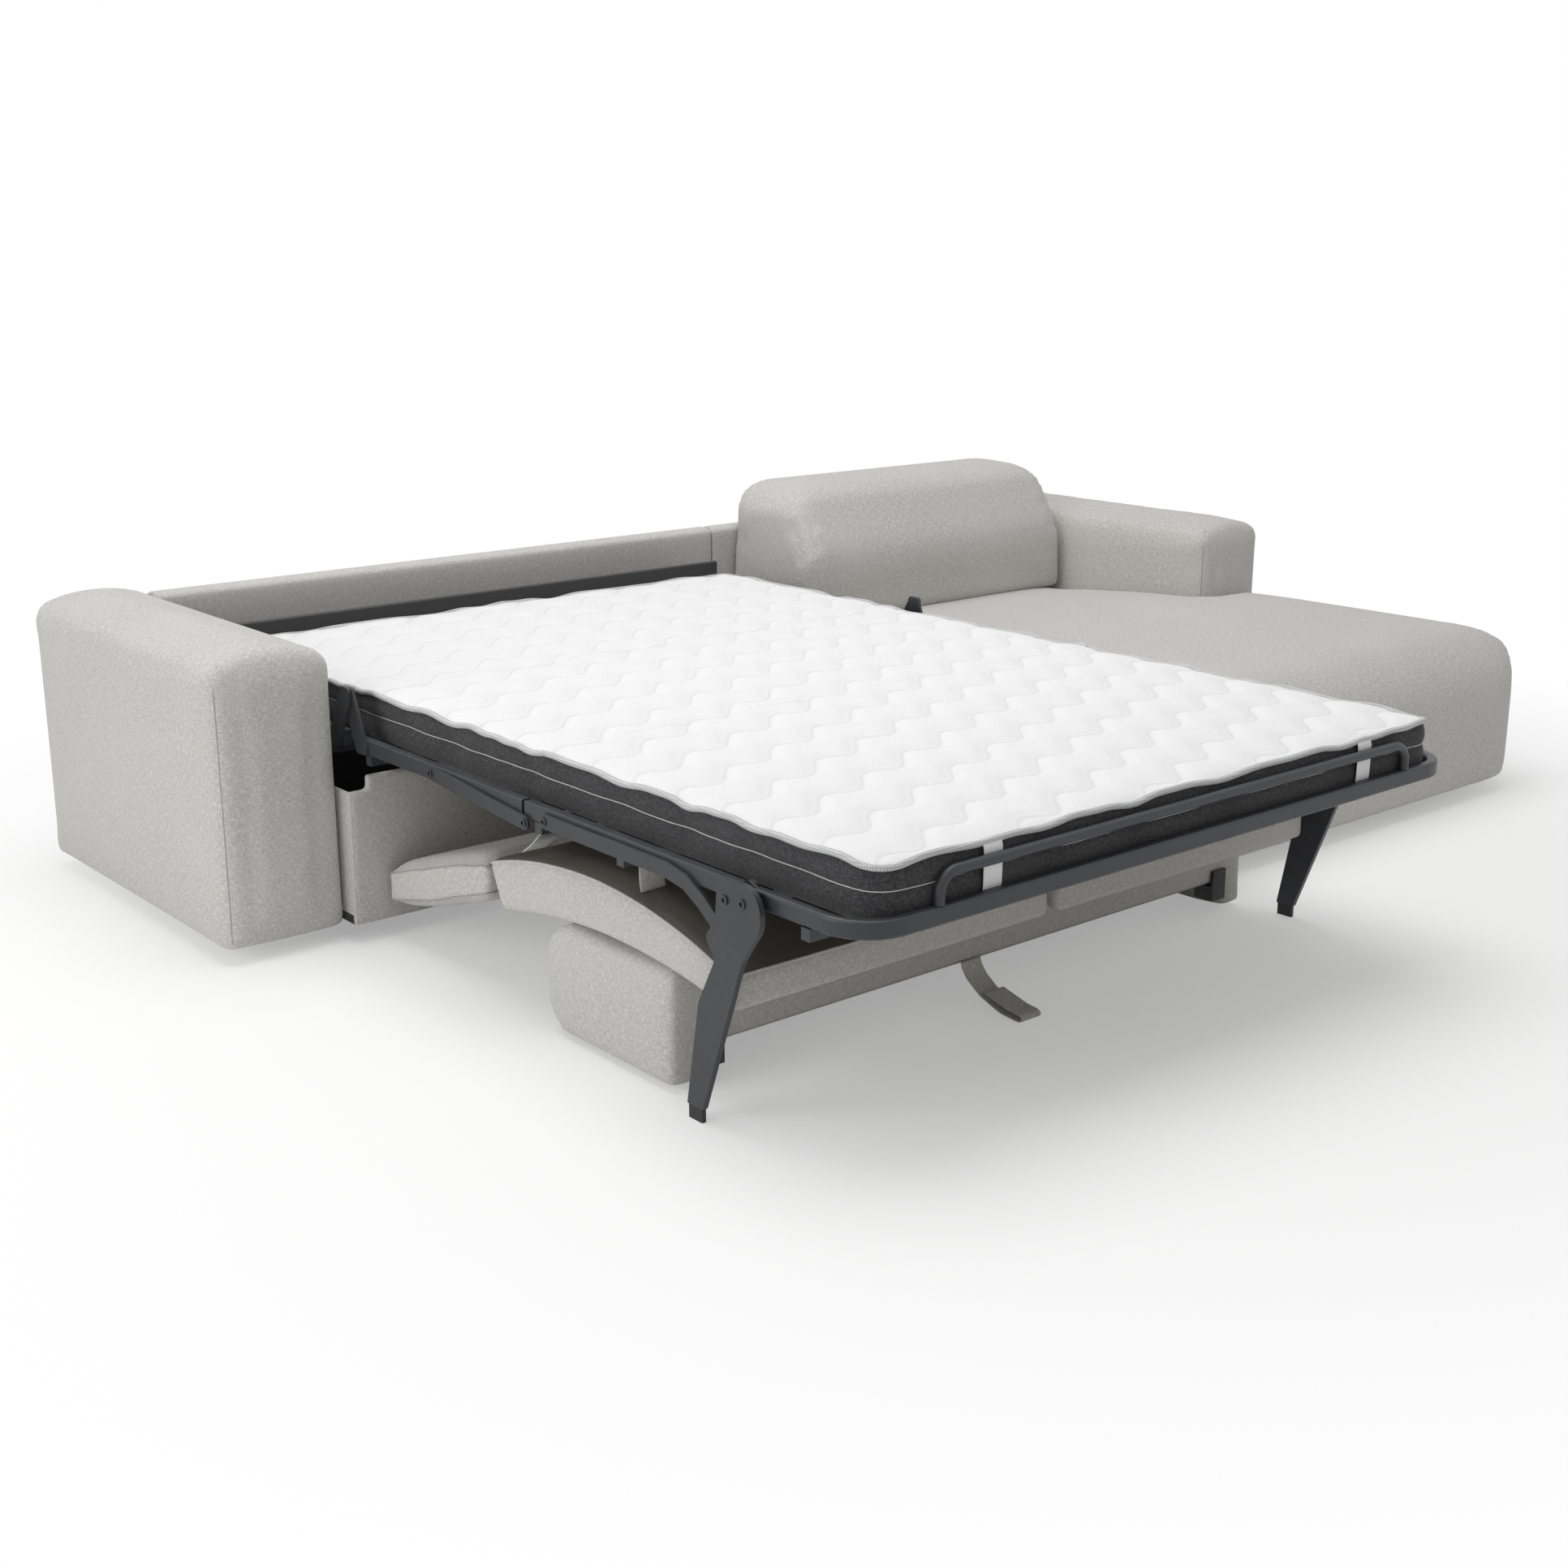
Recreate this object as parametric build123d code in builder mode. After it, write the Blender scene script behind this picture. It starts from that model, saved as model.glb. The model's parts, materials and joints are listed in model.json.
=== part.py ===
"""Corner sofa bed, opened out as a bed: a fixed sofa base with a chaise, and a folding bed frame.

Right is +X, the back of the sofa is +Y and up is +Z.
The origin is on the floor, under the middle of the whole object.
"""
import os
from math import atan2, degrees

from build123d import *

os.makedirs("parts", exist_ok=True)

# Mattress
mattress_width = 1400
mattress_length = 2110
mattress_height = 100
mattress_top = 497
mattress_corner = 70
mattress_gap = 1
mattress_edge = 8
foot_pad_length = 110
bend_pad_rear = 346
strap_width = 26
strap_thickness = 2
strap_inset = 228

# Fixed sofa
arm_width = 258
arm_height = 612
arm_gap = 85
arm_front = 1435
arm_crown = 26
back_thickness = 58
back_height = 585
back_bottom = 60
base_clearance = 25
foot_size = 60
foot_set_back = 240
apron_thickness = 14
apron_set_forward = 26
apron_top = 340
apron_end_top = 312
apron_overhang = 45
deck_wall = 180
deck_thickness = 18
deck_bottom = 40

# Chaise
chaise_gap = 80
chaise_width = 1305
chaise_front = 555
chaise_height = 402
chaise_rear_height = 350
chaise_corner = 170
chaise_nose = 185
chaise_edge = 100
chaise_droop = 10
right_arm_width = 255
right_arm_height = 588
chaise_cushion_height = 364
chaise_cushion_depth = 330
chaise_cushion_margin = 14
chaise_cushion_inset = 52
chaise_cushion_taper = 24
chaise_cushion_round = 95

# Bed frame
rail_height = 30
rail_width = 20
rail_bottom = 385
rail_offset = 30
rail_front = 14
rail_bend = 78
cross_tube = 20
head_tube_inset = 50
rail_end_inset = 5
slat_end_inset = 10
slat_width = 50
slat_thickness = 12
slat_count = 9
plate = 6
link_width = 26
pin_radius = 6
rivet_radius = 8
rivet_height = 2.5
rivet_bore = 4
running_clearance = 0.05
seat_clearance = 0.3
stop_bar_radius = 9
stop_bar_height = 463
stop_bar_inset = 110
stop_bar_bend = 34
head_bar_top = 525
head_bar_height = 60
head_bar_inset = 26
head_bar_thickness = 18
guide_place = 1730
guide_width = 60
guide_wall = 6
guide_depth = 18

# Folding axes, as a distance from the foot end and a height
head_axis = (1450, 500)
knee_axis = (846, 318)
foot_axis = (236, 410)
leg_axis = (262, 390)

# Legs
leg_thickness = 10
leg_lane = 60
leg_foot_height = 24
leg_sole = 40

# Upholstery under the bed
block_front = 438
block_length = 375
block_bottom = 4
block_cheek = 64
block_lift = 59
block_height = 203.7
block_round = 75
cushion_split = 12
back_pad_front = 288
back_pad_rear = 1004
back_pad_low = 182
back_pad_crest = 218
back_pad_crest_place = 600
back_pad_thickness = 98
back_pad_rear_thickness = 80
back_pad_front_thickness = 58
back_pad_rear_drop = 8
back_pad_undercut = 45
seat_pad_front = 1016
seat_pad_rear = 1402
seat_pad_front_low = 192
seat_pad_rear_low = 78
seat_pad_thickness = 60
seat_pad_crown = 6
webbing_width = 50
webbing_thickness = 3
pull_strap_width = 42
pull_strap_thickness = 4
pull_strap_side = 616
pull_strap_reach = 115
tab_margin = 70
tab_drop = 4.8

# Places that follow from the sizes above
overall_width = arm_width + arm_gap + mattress_width + chaise_gap + chaise_width
rail_reach = rail_front + rail_width / 2
back_front = mattress_length + head_bar_thickness + 134
overall_depth = rail_reach + back_front + back_thickness
bed_left = arm_width + arm_gap - overall_width / 2
bed_right = bed_left + mattress_width
foot_end = rail_reach - overall_depth / 2
bed_middle = (bed_left + bed_right) / 2
middle_plane = Plane.YZ.offset(bed_middle)
mattress_bottom = mattress_top - mattress_height
cross_top = rail_bottom
cross_bottom = cross_top - cross_tube
rail_mid = rail_bottom + rail_height / 2
arm_inner = bed_left - arm_gap
chaise_left = bed_right + chaise_gap
chaise_right = overall_width / 2
back_rear = overall_depth / 2


def along(distance):
    """The Y place that lies this far behind the foot end of the mattress."""
    return foot_end + distance


def across(distance):
    """The X place that lies this far to the right of the mattress's left side."""
    return bed_left + distance


def span_box(x, y, z, mode=Mode.ADD):
    """A box between two places on each axis, in the open part."""
    with Locations(((x[0] + x[1]) / 2, (y[0] + y[1]) / 2, (z[0] + z[1]) / 2)):
        Box(x[1] - x[0], y[1] - y[0], z[1] - z[0], mode=mode)


def cross_pin(x, axis, radius, length, mode=Mode.ADD):
    """A round bar along X through a folding axis, in the open part."""
    with Locations((x, along(axis[0]), axis[1])):
        Cylinder(radius, length, rotation=(0, 90, 0), mode=mode)


def side_lane(inset, thickness):
    """The X range of a left-hand plate that starts this far outside the mattress."""
    return (bed_left - inset - thickness, bed_left - inset)


def at(point):
    """A place in the side view, from a distance along the bed and a height."""
    return (along(point[0]), point[1])


def lane_pin(x, axis, radius, mode=Mode.ADD):
    """A round bar along X that fills a lane, in the open part."""
    cross_pin((x[0] + x[1]) / 2, axis, radius, x[1] - x[0], mode)


def ring_rivet(x, axis):
    """A tubular rivet head along X, in the open part."""
    lane_pin(x, axis, rivet_radius)
    lane_pin(x, axis, rivet_bore, Mode.SUBTRACT)


def bent_bar(x, points, width):
    """A flat bar with round ends that follows a bent line in the side view."""
    with BuildPart() as bar:
        with BuildSketch(Plane.YZ.offset(x[0])):
            for start, end in zip(points, points[1:]):
                run = Vector(end[0] - start[0], end[1] - start[1])
                with Locations(at(((start[0] + end[0]) / 2, (start[1] + end[1]) / 2))):
                    SlotCenterToCenter(run.length, width, rotation=degrees(atan2(run.Y, run.X)))
        extrude(amount=x[1] - x[0])
    return bar.part


def cut_plate(x, outline, corner):
    """A flat plate cut to an outline in the side view, with its corners rounded."""
    with BuildPart() as blank:
        with BuildSketch(Plane.YZ.offset(x[0])):
            with BuildLine():
                FilletPolyline(*[at(point) for point in outline], radius=corner, close=True)
            make_face()
        extrude(amount=x[1] - x[0])
    return blank.part


def save(name, part):
    """Label one finished piece and write its file."""
    part.label = name
    export_step(part, f"parts/{name}.step")


# Fixed sofa: arms, low back, apron, deck and feet
def upholstered_arm(name, x, height):
    """A thick padded arm with a crowned top and soft edges."""
    width = x[1] - x[0]
    with BuildPart() as arm:
        with BuildSketch(Plane.XZ.offset(-along(arm_front))):
            with BuildLine():
                Polyline((x[0], height - arm_crown), (x[0], base_clearance), (x[1], base_clearance),
                         (x[1], height - arm_crown))
                ThreePointArc((x[1], height - arm_crown), (x[0] + width / 2, height),
                              (x[0], height - arm_crown))
            make_face()
        extrude(amount=-(back_rear - along(arm_front)))
        fillet(arm.edges().filter_by(Axis.Y).group_by(Axis.Z)[-1], arm_crown * 1.6)
        fillet(arm.faces().sort_by(Axis.Y)[0].edges(), arm_crown * 1.3)
        fillet(arm.faces().sort_by(Axis.Y)[-1].edges(), arm_crown)
    save(name, arm.part)


upholstered_arm("left_arm", (arm_inner - arm_width, arm_inner), arm_height)
upholstered_arm("right_arm", (chaise_right - right_arm_width, chaise_right), right_arm_height)


def back_wall(name, x):
    """A low upholstered back panel between two arms."""
    with BuildPart() as wall:
        span_box(x, (along(back_front), back_rear), (back_bottom, back_height))
        fillet(wall.edges().filter_by(Axis.X).group_by(Axis.Z)[-1], back_thickness * 0.22)
    save(name, wall.part)


back_wall("back_panel", (arm_inner, chaise_left - seat_clearance))
back_wall("chaise_back_panel", (chaise_left + seat_clearance, chaise_right - right_arm_width))

apron_front = along(arm_front) - apron_set_forward
with BuildPart() as base_apron:
    apron_y = (apron_front, apron_front + apron_thickness)
    span_box((across(-apron_overhang), bed_right + apron_overhang), apron_y, (deck_bottom, apron_top))
    fillet(base_apron.edges().filter_by(Axis.X).group_by(Axis.Z)[-1], apron_thickness * 0.3)
    span_box((arm_inner + seat_clearance, chaise_left - seat_clearance), apron_y,
             (deck_bottom, apron_end_top))
save("base_apron", base_apron.part)

with BuildPart() as base_deck:
    span_box((arm_inner, chaise_left), (apron_front + apron_thickness, along(back_front)),
             (deck_bottom, deck_bottom + deck_thickness))
    span_box((arm_inner, chaise_left), (along(back_front) - deck_thickness, along(back_front)),
             (deck_bottom + deck_thickness, deck_wall))
save("base_deck", base_deck.part)

with BuildPart() as sofa_feet:
    foot_rows = (along(arm_front) + foot_set_back, back_rear - foot_size * 1.5)
    for foot_x in (arm_inner - arm_width / 2, chaise_right - right_arm_width / 2):
        for foot_y in foot_rows:
            with Locations((foot_x, foot_y, base_clearance / 2)):
                Cylinder(foot_size / 2, base_clearance)
    for foot_x in (chaise_left + foot_size * 1.5, chaise_right - right_arm_width - foot_size):
        for foot_y in (along(chaise_front) + chaise_corner, along(arm_front) + foot_size,
                       along(back_front) - foot_size * 2):
            with Locations((foot_x, foot_y, base_clearance / 2)):
                Cylinder(foot_size / 2, base_clearance)
    for foot_x in (across(foot_size), bed_right - foot_size):
        for foot_y in (apron_front + foot_set_back, along(back_front) - foot_size):
            with Locations((foot_x, foot_y, deck_bottom / 2)):
                Cylinder(foot_size / 2, deck_bottom)
save("sofa_feet", sofa_feet.part)

# Chaise: one long padded seat that wraps the arm, with a loose back cushion
with BuildPart() as chaise_plan:
    arm_side = chaise_right - right_arm_width - seat_clearance
    step_rear = along(arm_front) - seat_clearance
    plan_rear = along(back_front) - seat_clearance
    with BuildSketch(Plane.XY.offset(base_clearance)):
        with BuildLine():
            FilletPolyline((chaise_left, along(chaise_front)), (chaise_right, along(chaise_front)),
                           (chaise_right, step_rear), (arm_side, step_rear),
                           (arm_side, plan_rear), (chaise_left, plan_rear),
                           radius=(foot_size, chaise_corner, foot_size / 4,
                                   foot_size / 20, foot_size / 4, foot_size / 4),
                           close=True)
        make_face()
    extrude(amount=chaise_height)

with BuildPart() as chaise_seat:
    cushion_rear = along(back_front) - seat_clearance
    cushion_front = cushion_rear - chaise_cushion_depth
    nose_end = (along(chaise_front) + chaise_nose, chaise_height - chaise_droop)
    with BuildSketch(Plane.YZ.offset(chaise_left)):
        with BuildLine():
            Polyline((cushion_front, chaise_rear_height), (cushion_rear, chaise_rear_height),
                     (cushion_rear, base_clearance), (along(chaise_front), base_clearance),
                     (along(chaise_front), nose_end[1] - chaise_nose))
            RadiusArc((along(chaise_front), nose_end[1] - chaise_nose), nose_end, chaise_nose)
            ThreePointArc(nose_end, (along(arm_front) - chaise_nose, chaise_height),
                          (cushion_front, chaise_rear_height))
        make_face()
    extrude(amount=chaise_width)
    with BuildSketch(Plane.XZ):
        with BuildLine():
            side_top = chaise_height - chaise_droop
            Polyline((chaise_right, side_top - chaise_edge), (chaise_right, base_clearance),
                     (chaise_left, base_clearance), (chaise_left, side_top))
            ThreePointArc((chaise_left, side_top), ((chaise_left + chaise_right) / 2, chaise_height),
                          (chaise_right - chaise_edge, side_top))
            RadiusArc((chaise_right - chaise_edge, side_top), (chaise_right, side_top - chaise_edge),
                      chaise_edge)
        make_face()
    extrude(amount=overall_depth, both=True, mode=Mode.INTERSECT)
    add(chaise_plan.part, mode=Mode.INTERSECT)
save("chaise_seat", chaise_seat.part)

with BuildPart() as chaise_back_cushion:
    cushion_x = (chaise_left + chaise_cushion_inset, chaise_right - right_arm_width - chaise_cushion_margin)
    cushion_low = chaise_rear_height + seat_clearance
    cushion_top = cushion_low + chaise_cushion_height
    lean = chaise_cushion_depth * 0.3
    with BuildSketch(Plane.YZ.offset(cushion_x[0])):
        with BuildLine():
            FilletPolyline((cushion_front, cushion_low), (cushion_rear, cushion_low),
                           (cushion_rear, cushion_top), (cushion_front + lean, cushion_top),
                           (cushion_front, (cushion_low + cushion_top) / 2),
                           radius=(chaise_cushion_margin, chaise_cushion_margin, chaise_cushion_round / 2,
                                   chaise_cushion_round, chaise_cushion_round * 2), close=True)
        make_face()
    extrude(amount=cushion_x[1] - cushion_x[0])
    with BuildSketch(Plane.XZ):
        with BuildLine():
            FilletPolyline((cushion_x[0], cushion_low), (cushion_x[1], cushion_low),
                           (cushion_x[1] - chaise_cushion_taper, cushion_top),
                           (cushion_x[0] + chaise_cushion_taper, cushion_top),
                           radius=(chaise_cushion_margin, chaise_cushion_margin, chaise_cushion_round,
                                   chaise_cushion_round), close=True)
        make_face()
    extrude(amount=overall_depth, both=True, mode=Mode.INTERSECT)
save("chaise_back_cushion", chaise_back_cushion.part)

# Mattress: one pad in lengths that fold on each other
def mattress_pad(name, y, corner=0):
    """One length of the mattress, with rounded corners at the foot end where asked for."""
    with BuildPart() as pad:
        span_box((bed_left, bed_right), (along(y[0]), along(y[1])), (mattress_bottom, mattress_top))
        if corner:
            fillet(pad.edges().filter_by(Axis.Z).group_by(Axis.Y)[0], corner)
        rim = pad.faces().sort_by(Axis.Z)[-1].edges() + pad.faces().sort_by(Axis.Z)[0].edges()
        cut_ends = (along(y[1]),) if corner else (along(y[0]), along(y[1]))
        long_rim = [edge for edge in rim if all(abs(edge.center().Y - end) > 1 for end in cut_ends)]
        fillet(long_rim, mattress_edge)
    save(name, pad.part)


half_gap = mattress_gap / 2
mattress_pad("mattress_head", (head_axis[0] + half_gap, mattress_length))
mattress_pad("mattress_middle", (knee_axis[0] + half_gap, head_axis[0] - half_gap))
mattress_pad("mattress_front", (bend_pad_rear + half_gap, knee_axis[0] - half_gap))
mattress_pad("mattress_bend", (foot_pad_length + half_gap, bend_pad_rear - half_gap))
mattress_pad("mattress_foot", (0, foot_pad_length - half_gap), mattress_corner)

with BuildPart() as mattress_straps:
    for strap_x in (across(strap_inset), bed_right - strap_inset):
        span_box((strap_x - strap_width / 2, strap_x + strap_width / 2),
                 (foot_end - strap_thickness, foot_end), (mattress_bottom, mattress_top - mattress_edge))
save("mattress_straps", mattress_straps.part)

# Bed frame: side rails, cross tubes and slats of each section
rail_lane = side_lane(rail_offset, rail_width)
link_lane = side_lane(rail_offset + rail_width + 1, plate)
rail_top = rail_bottom + rail_height
frame_right = bed_right + rail_offset + rail_width


def section_rails(name, y):
    """The left and right side rails of one section."""
    with BuildPart() as rails:
        span_box(rail_lane, (along(y[0]), along(y[1])), (rail_bottom, rail_top))
        fillet(rails.edges().filter_by(Axis.Y), rail_width * 0.15)
        mirror(about=middle_plane)
    save(name, rails.part)


def section_cross_tubes(name, places):
    """The tubes under the rails that tie one section together."""
    with BuildPart() as tubes:
        for place in places:
            span_box((rail_lane[0], frame_right),
                     (along(place - cross_tube / 2), along(place + cross_tube / 2)), (cross_bottom, cross_top))
    save(name, tubes.part)


def section_slats(name, y):
    """Wooden slats along the bed that lie on the cross tubes and carry the mattress."""
    with BuildPart() as slats:
        pitch = mattress_width / slat_count
        for number in range(slat_count):
            slat_x = across(pitch * (number + 0.5))
            span_box((slat_x - slat_width / 2, slat_x + slat_width / 2), (along(y[0]), along(y[1])),
                     (cross_top, cross_top + slat_thickness))
    save(name, slats.part)


head_tubes = (head_axis[0] + 80, mattress_length - head_tube_inset)
middle_tubes = (knee_axis[0] + 54, head_axis[0] - 60)
front_tubes = (foot_axis[0] + 36, 560, knee_axis[0] - 46)
foot_tube = 98
section_rails("head_rails", (head_axis[0] + 40, mattress_length - rail_end_inset))
section_rails("middle_rails", (knee_axis[0] + 4, head_axis[0] - 14))
section_cross_tubes("head_cross_tubes", head_tubes)
section_cross_tubes("middle_cross_tubes", middle_tubes)
section_cross_tubes("front_cross_tubes", front_tubes)
section_slats("head_slats", (head_axis[0] + 12, mattress_length - slat_end_inset))
section_slats("middle_slats", (knee_axis[0] + 8, head_axis[0] - 12))
section_slats("front_slats", (foot_axis[0] + 20, knee_axis[0] - 8))

# Head end: black stop bar on two posts, and the channel guides that let the head section sink
with BuildPart() as head_stop_bar:
    bar_y = (along(mattress_length), along(mattress_length) + head_bar_thickness)
    span_box((across(head_bar_inset), bed_right - head_bar_inset), bar_y,
             (head_bar_top - head_bar_height, head_bar_top))
    fillet(head_stop_bar.edges().filter_by(Axis.X), head_bar_thickness * 0.3)
    post_x = (across(head_bar_inset * 3), across(head_bar_inset * 3) + cross_tube)
    span_box(post_x, bar_y, (cross_bottom, head_bar_top - head_bar_height / 2))
    span_box(post_x, (along(head_tubes[1] + cross_tube / 2), bar_y[1]), (cross_bottom, cross_top))
    mirror(about=middle_plane)
save("head_stop_bar", head_stop_bar.part)

guide_lane = side_lane(leg_lane, guide_depth)
guide_y = (along(guide_place - guide_width / 2), along(guide_place + guide_width / 2))
with BuildPart() as lift_guides:
    span_box(guide_lane, guide_y, (deck_bottom + deck_thickness, rail_top))
    with Locations(((guide_lane[0] + guide_lane[1] + guide_wall) / 2, along(guide_place), rail_top / 2)):
        Box(guide_depth - guide_wall, guide_width - 2 * guide_wall, 2 * rail_top, mode=Mode.SUBTRACT)
    mirror(about=middle_plane)
save("lift_guides", lift_guides.part)

with BuildPart() as lift_sliders:
    span_box((guide_lane[0] + guide_wall + seat_clearance, rail_lane[0]),
             (guide_y[0] + guide_wall + seat_clearance, guide_y[1] - guide_wall - seat_clearance),
             (rail_bottom, rail_top))
    mirror(about=middle_plane)
save("lift_sliders", lift_sliders.part)

# Hinge between the head and middle sections, level with the mattress top
inner_ear = side_lane(rail_offset + rail_width, plate)
outer_ear = side_lane(rail_offset + rail_width + plate + seat_clearance, plate)
hinge_y, hinge_z = head_axis
ear_half, ear_rise, ear_drop = 16, 12, 18
ear_top = hinge_z + ear_rise
ear_shoulder = hinge_z - ear_drop
middle_ear_outline = ((hinge_y - ear_half, ear_top), (hinge_y + ear_half, ear_top),
                      (hinge_y + ear_half, ear_shoulder), (hinge_y - 24, rail_bottom),
                      (hinge_y - 68, rail_bottom))
head_ear_outline = ((hinge_y - ear_half, ear_top), (hinge_y + ear_half, ear_top),
                    (hinge_y + 84, rail_bottom), (hinge_y + 40, rail_bottom),
                    (hinge_y - ear_half, ear_shoulder))
with BuildPart() as middle_hinge_ears:
    add(cut_plate(inner_ear, middle_ear_outline, 10))
    lane_pin(inner_ear, head_axis, pin_radius + running_clearance, Mode.SUBTRACT)
    mirror(about=middle_plane)
save("middle_hinge_ears", middle_hinge_ears.part)

with BuildPart() as head_hinge_ears:
    add(cut_plate(outer_ear, head_ear_outline, 10))
    lane_pin((outer_ear[0], rail_lane[0]), head_axis, pin_radius)
    span_box((outer_ear[1], rail_lane[0]), (along(hinge_y + 44), along(hinge_y + 74)),
             (rail_bottom, rail_top))
    mirror(about=middle_plane)
save("head_hinge_ears", head_hinge_ears.part)

# Knee hinge between the middle and front sections, hung under the cross tubes
knuckle_reach = 10
knuckle_width = 2 * knuckle_reach
knuckle_lane = (across(mattress_width * 0.22), across(mattress_width * 0.22) + plate)
front_knuckle_lane = (knuckle_lane[1] + seat_clearance, knuckle_lane[1] + seat_clearance + plate)
knee_y, knee_z = knee_axis


def knuckle(x, tube):
    """A plate from the underside of a cross tube down to the knee axis."""
    root = tube - knuckle_reach
    with BuildPart() as arm:
        add(bent_bar(x, (knee_axis, (tube, cross_bottom - knuckle_reach)), knuckle_width))
        span_box(x, (along(root), along(root + knuckle_width)), (cross_bottom - knuckle_reach, cross_bottom))
    return arm.part


with BuildPart() as middle_knuckles:
    add(knuckle(knuckle_lane, middle_tubes[0]))
    lane_pin(knuckle_lane, knee_axis, pin_radius + running_clearance, Mode.SUBTRACT)
    mirror(about=middle_plane)
save("middle_knuckles", middle_knuckles.part)

with BuildPart() as front_knuckles:
    add(knuckle(front_knuckle_lane, front_tubes[2]))
    lane_pin((knuckle_lane[0], front_knuckle_lane[1]), knee_axis, pin_radius)
    mirror(about=middle_plane)
save("front_knuckles", front_knuckles.part)

# Side links and their rivets, in the lane just outside the rails
rivet_lane = (link_lane[0] - rivet_height, link_lane[0])
fold_link_points = ((1146, 402), (836, 378))
leg_link_points = ((772, 394), (430, 394), (380, 386), (338, 364), (308, 342), (290, 327))
with BuildPart() as fold_links:
    add(bent_bar(link_lane, fold_link_points, link_width))
    span_box((link_lane[1], rail_lane[0]), (along(1000), along(1140)), (rail_bottom, rail_bottom + plate))
    for rivet in fold_link_points:
        ring_rivet(rivet_lane, rivet)
    mirror(about=middle_plane)
save("fold_links", fold_links.part)

with BuildPart() as leg_links:
    add(bent_bar(link_lane, leg_link_points, link_width))
    span_box((link_lane[1], rail_lane[0]), (along(440), along(760)),
             (rail_bottom + plate, rail_bottom + 2 * plate))
    for rivet in (leg_link_points[0], leg_link_points[-1]):
        ring_rivet(rivet_lane, rivet)
    mirror(about=middle_plane)
save("leg_links", leg_links.part)

# Foot end: bent tube loop on two pivots, with a mattress stop bar and short slats
foot_lug_lane = (rail_lane[0] + 4, rail_lane[0] + 4 + plate)
front_lug_lane = (foot_lug_lane[1] + seat_clearance, foot_lug_lane[1] + seat_clearance + plate)
lug_reach = 12
lug_height = foot_axis[1] - lug_reach
foot_arm_end = 220
front_rail_start = 252
with BuildPart() as front_rails:
    span_box(rail_lane, (along(front_rail_start), along(842)), (rail_bottom, rail_top))
    fillet(front_rails.edges().filter_by(Axis.Y), rail_width * 0.15)
    add(bent_bar(front_lug_lane, (foot_axis, (front_rail_start + lug_reach, lug_height)), 2 * lug_reach))
    lane_pin((foot_lug_lane[0], front_lug_lane[1]), foot_axis, pin_radius)
    mirror(about=middle_plane)
save("front_rails", front_rails.part)

rail_line = (rail_lane[0] + rail_lane[1]) / 2
right_line = bed_left + bed_right - rail_line
with BuildPart() as foot_frame:
    with BuildLine() as loop:
        FilletPolyline((rail_line, along(foot_arm_end), rail_mid),
                       (rail_line, foot_end - rail_front, rail_mid),
                       (right_line, foot_end - rail_front, rail_mid),
                       (right_line, along(foot_arm_end), rail_mid), radius=rail_bend)
    with BuildSketch(Plane(origin=loop.line @ 0, x_dir=(1, 0, 0), z_dir=loop.line % 0)):
        RectangleRounded(rail_width, rail_height, rail_width * 0.3)
    sweep()
    lug = bent_bar(foot_lug_lane, (foot_axis, (foot_arm_end - lug_reach, lug_height)), 2 * lug_reach)
    add(lug)
    add(mirror(lug, about=middle_plane, mode=Mode.PRIVATE))
    bore = foot_lug_lane
    far_bore = (bed_left + bed_right - bore[1], bed_left + bed_right - bore[0])
    lane_pin(bore, foot_axis, pin_radius + running_clearance, Mode.SUBTRACT)
    lane_pin(far_bore, foot_axis, pin_radius + running_clearance, Mode.SUBTRACT)
save("foot_frame", foot_frame.part)

with BuildPart() as foot_stop_bar:
    bar_places = (across(stop_bar_inset), bed_right - stop_bar_inset)
    bar_line_y = foot_end - rail_front
    with BuildLine() as bar_line:
        FilletPolyline((bar_places[0], bar_line_y, rail_top), (bar_places[0], bar_line_y, stop_bar_height),
                       (bar_places[1], bar_line_y, stop_bar_height), (bar_places[1], bar_line_y, rail_top),
                       radius=stop_bar_bend)
    with BuildSketch(Plane(origin=bar_line.line @ 0, z_dir=bar_line.line % 0)):
        Circle(stop_bar_radius)
    sweep()
save("foot_stop_bar", foot_stop_bar.part)

section_cross_tubes("foot_cross_tube", (foot_tube,))
section_slats("foot_slats", (rail_width / 2 - rail_front, foot_tube + cross_tube / 2))

# Legs: tapered steel legs that fold up beside the front rails
leg_outline = ((280, 425), (178, 425), (178, 362), (222, 300), (322, leg_foot_height),
               (322 + leg_sole, leg_foot_height), (330, 205), (288, 286), (312, 318), (286, 352))
leg_corners = (16, 42, 40, 60, 2, 2, 60, 14, 14, 20)
leg_places = side_lane(leg_lane, leg_thickness)
leg_rivet = (220, 394)
sole_inset = 3


def leg(name, flip):
    """One leg bored for its pin, with a plastic sole."""
    with BuildPart() as one_leg:
        add(cut_plate(leg_places, leg_outline, leg_corners))
        lane_pin(leg_places, leg_axis, pin_radius + running_clearance, Mode.SUBTRACT)
        ring_rivet((leg_places[0] - rivet_height, leg_places[0]), leg_rivet)
    with BuildPart() as sole:
        span_box((leg_places[0] + 1, leg_places[1] - 1),
                 (along(322 + sole_inset), along(322 + leg_sole - sole_inset)), (0, leg_foot_height))
    for label, piece in ((f"leg_{name}", one_leg.part), (f"leg_sole_{name}", sole.part)):
        save(label, mirror(piece, about=middle_plane) if flip else piece)


leg("left", False)
leg("right", True)

with BuildPart() as leg_pins:
    lane_pin((leg_places[0] - rivet_height, rail_lane[0]), leg_axis, pin_radius)
    cap_inner = leg_places[0] - seat_clearance
    ring_rivet((cap_inner - rivet_height, cap_inner), leg_axis)
    mirror(about=middle_plane)
save("leg_pins", leg_pins.part)

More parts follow.
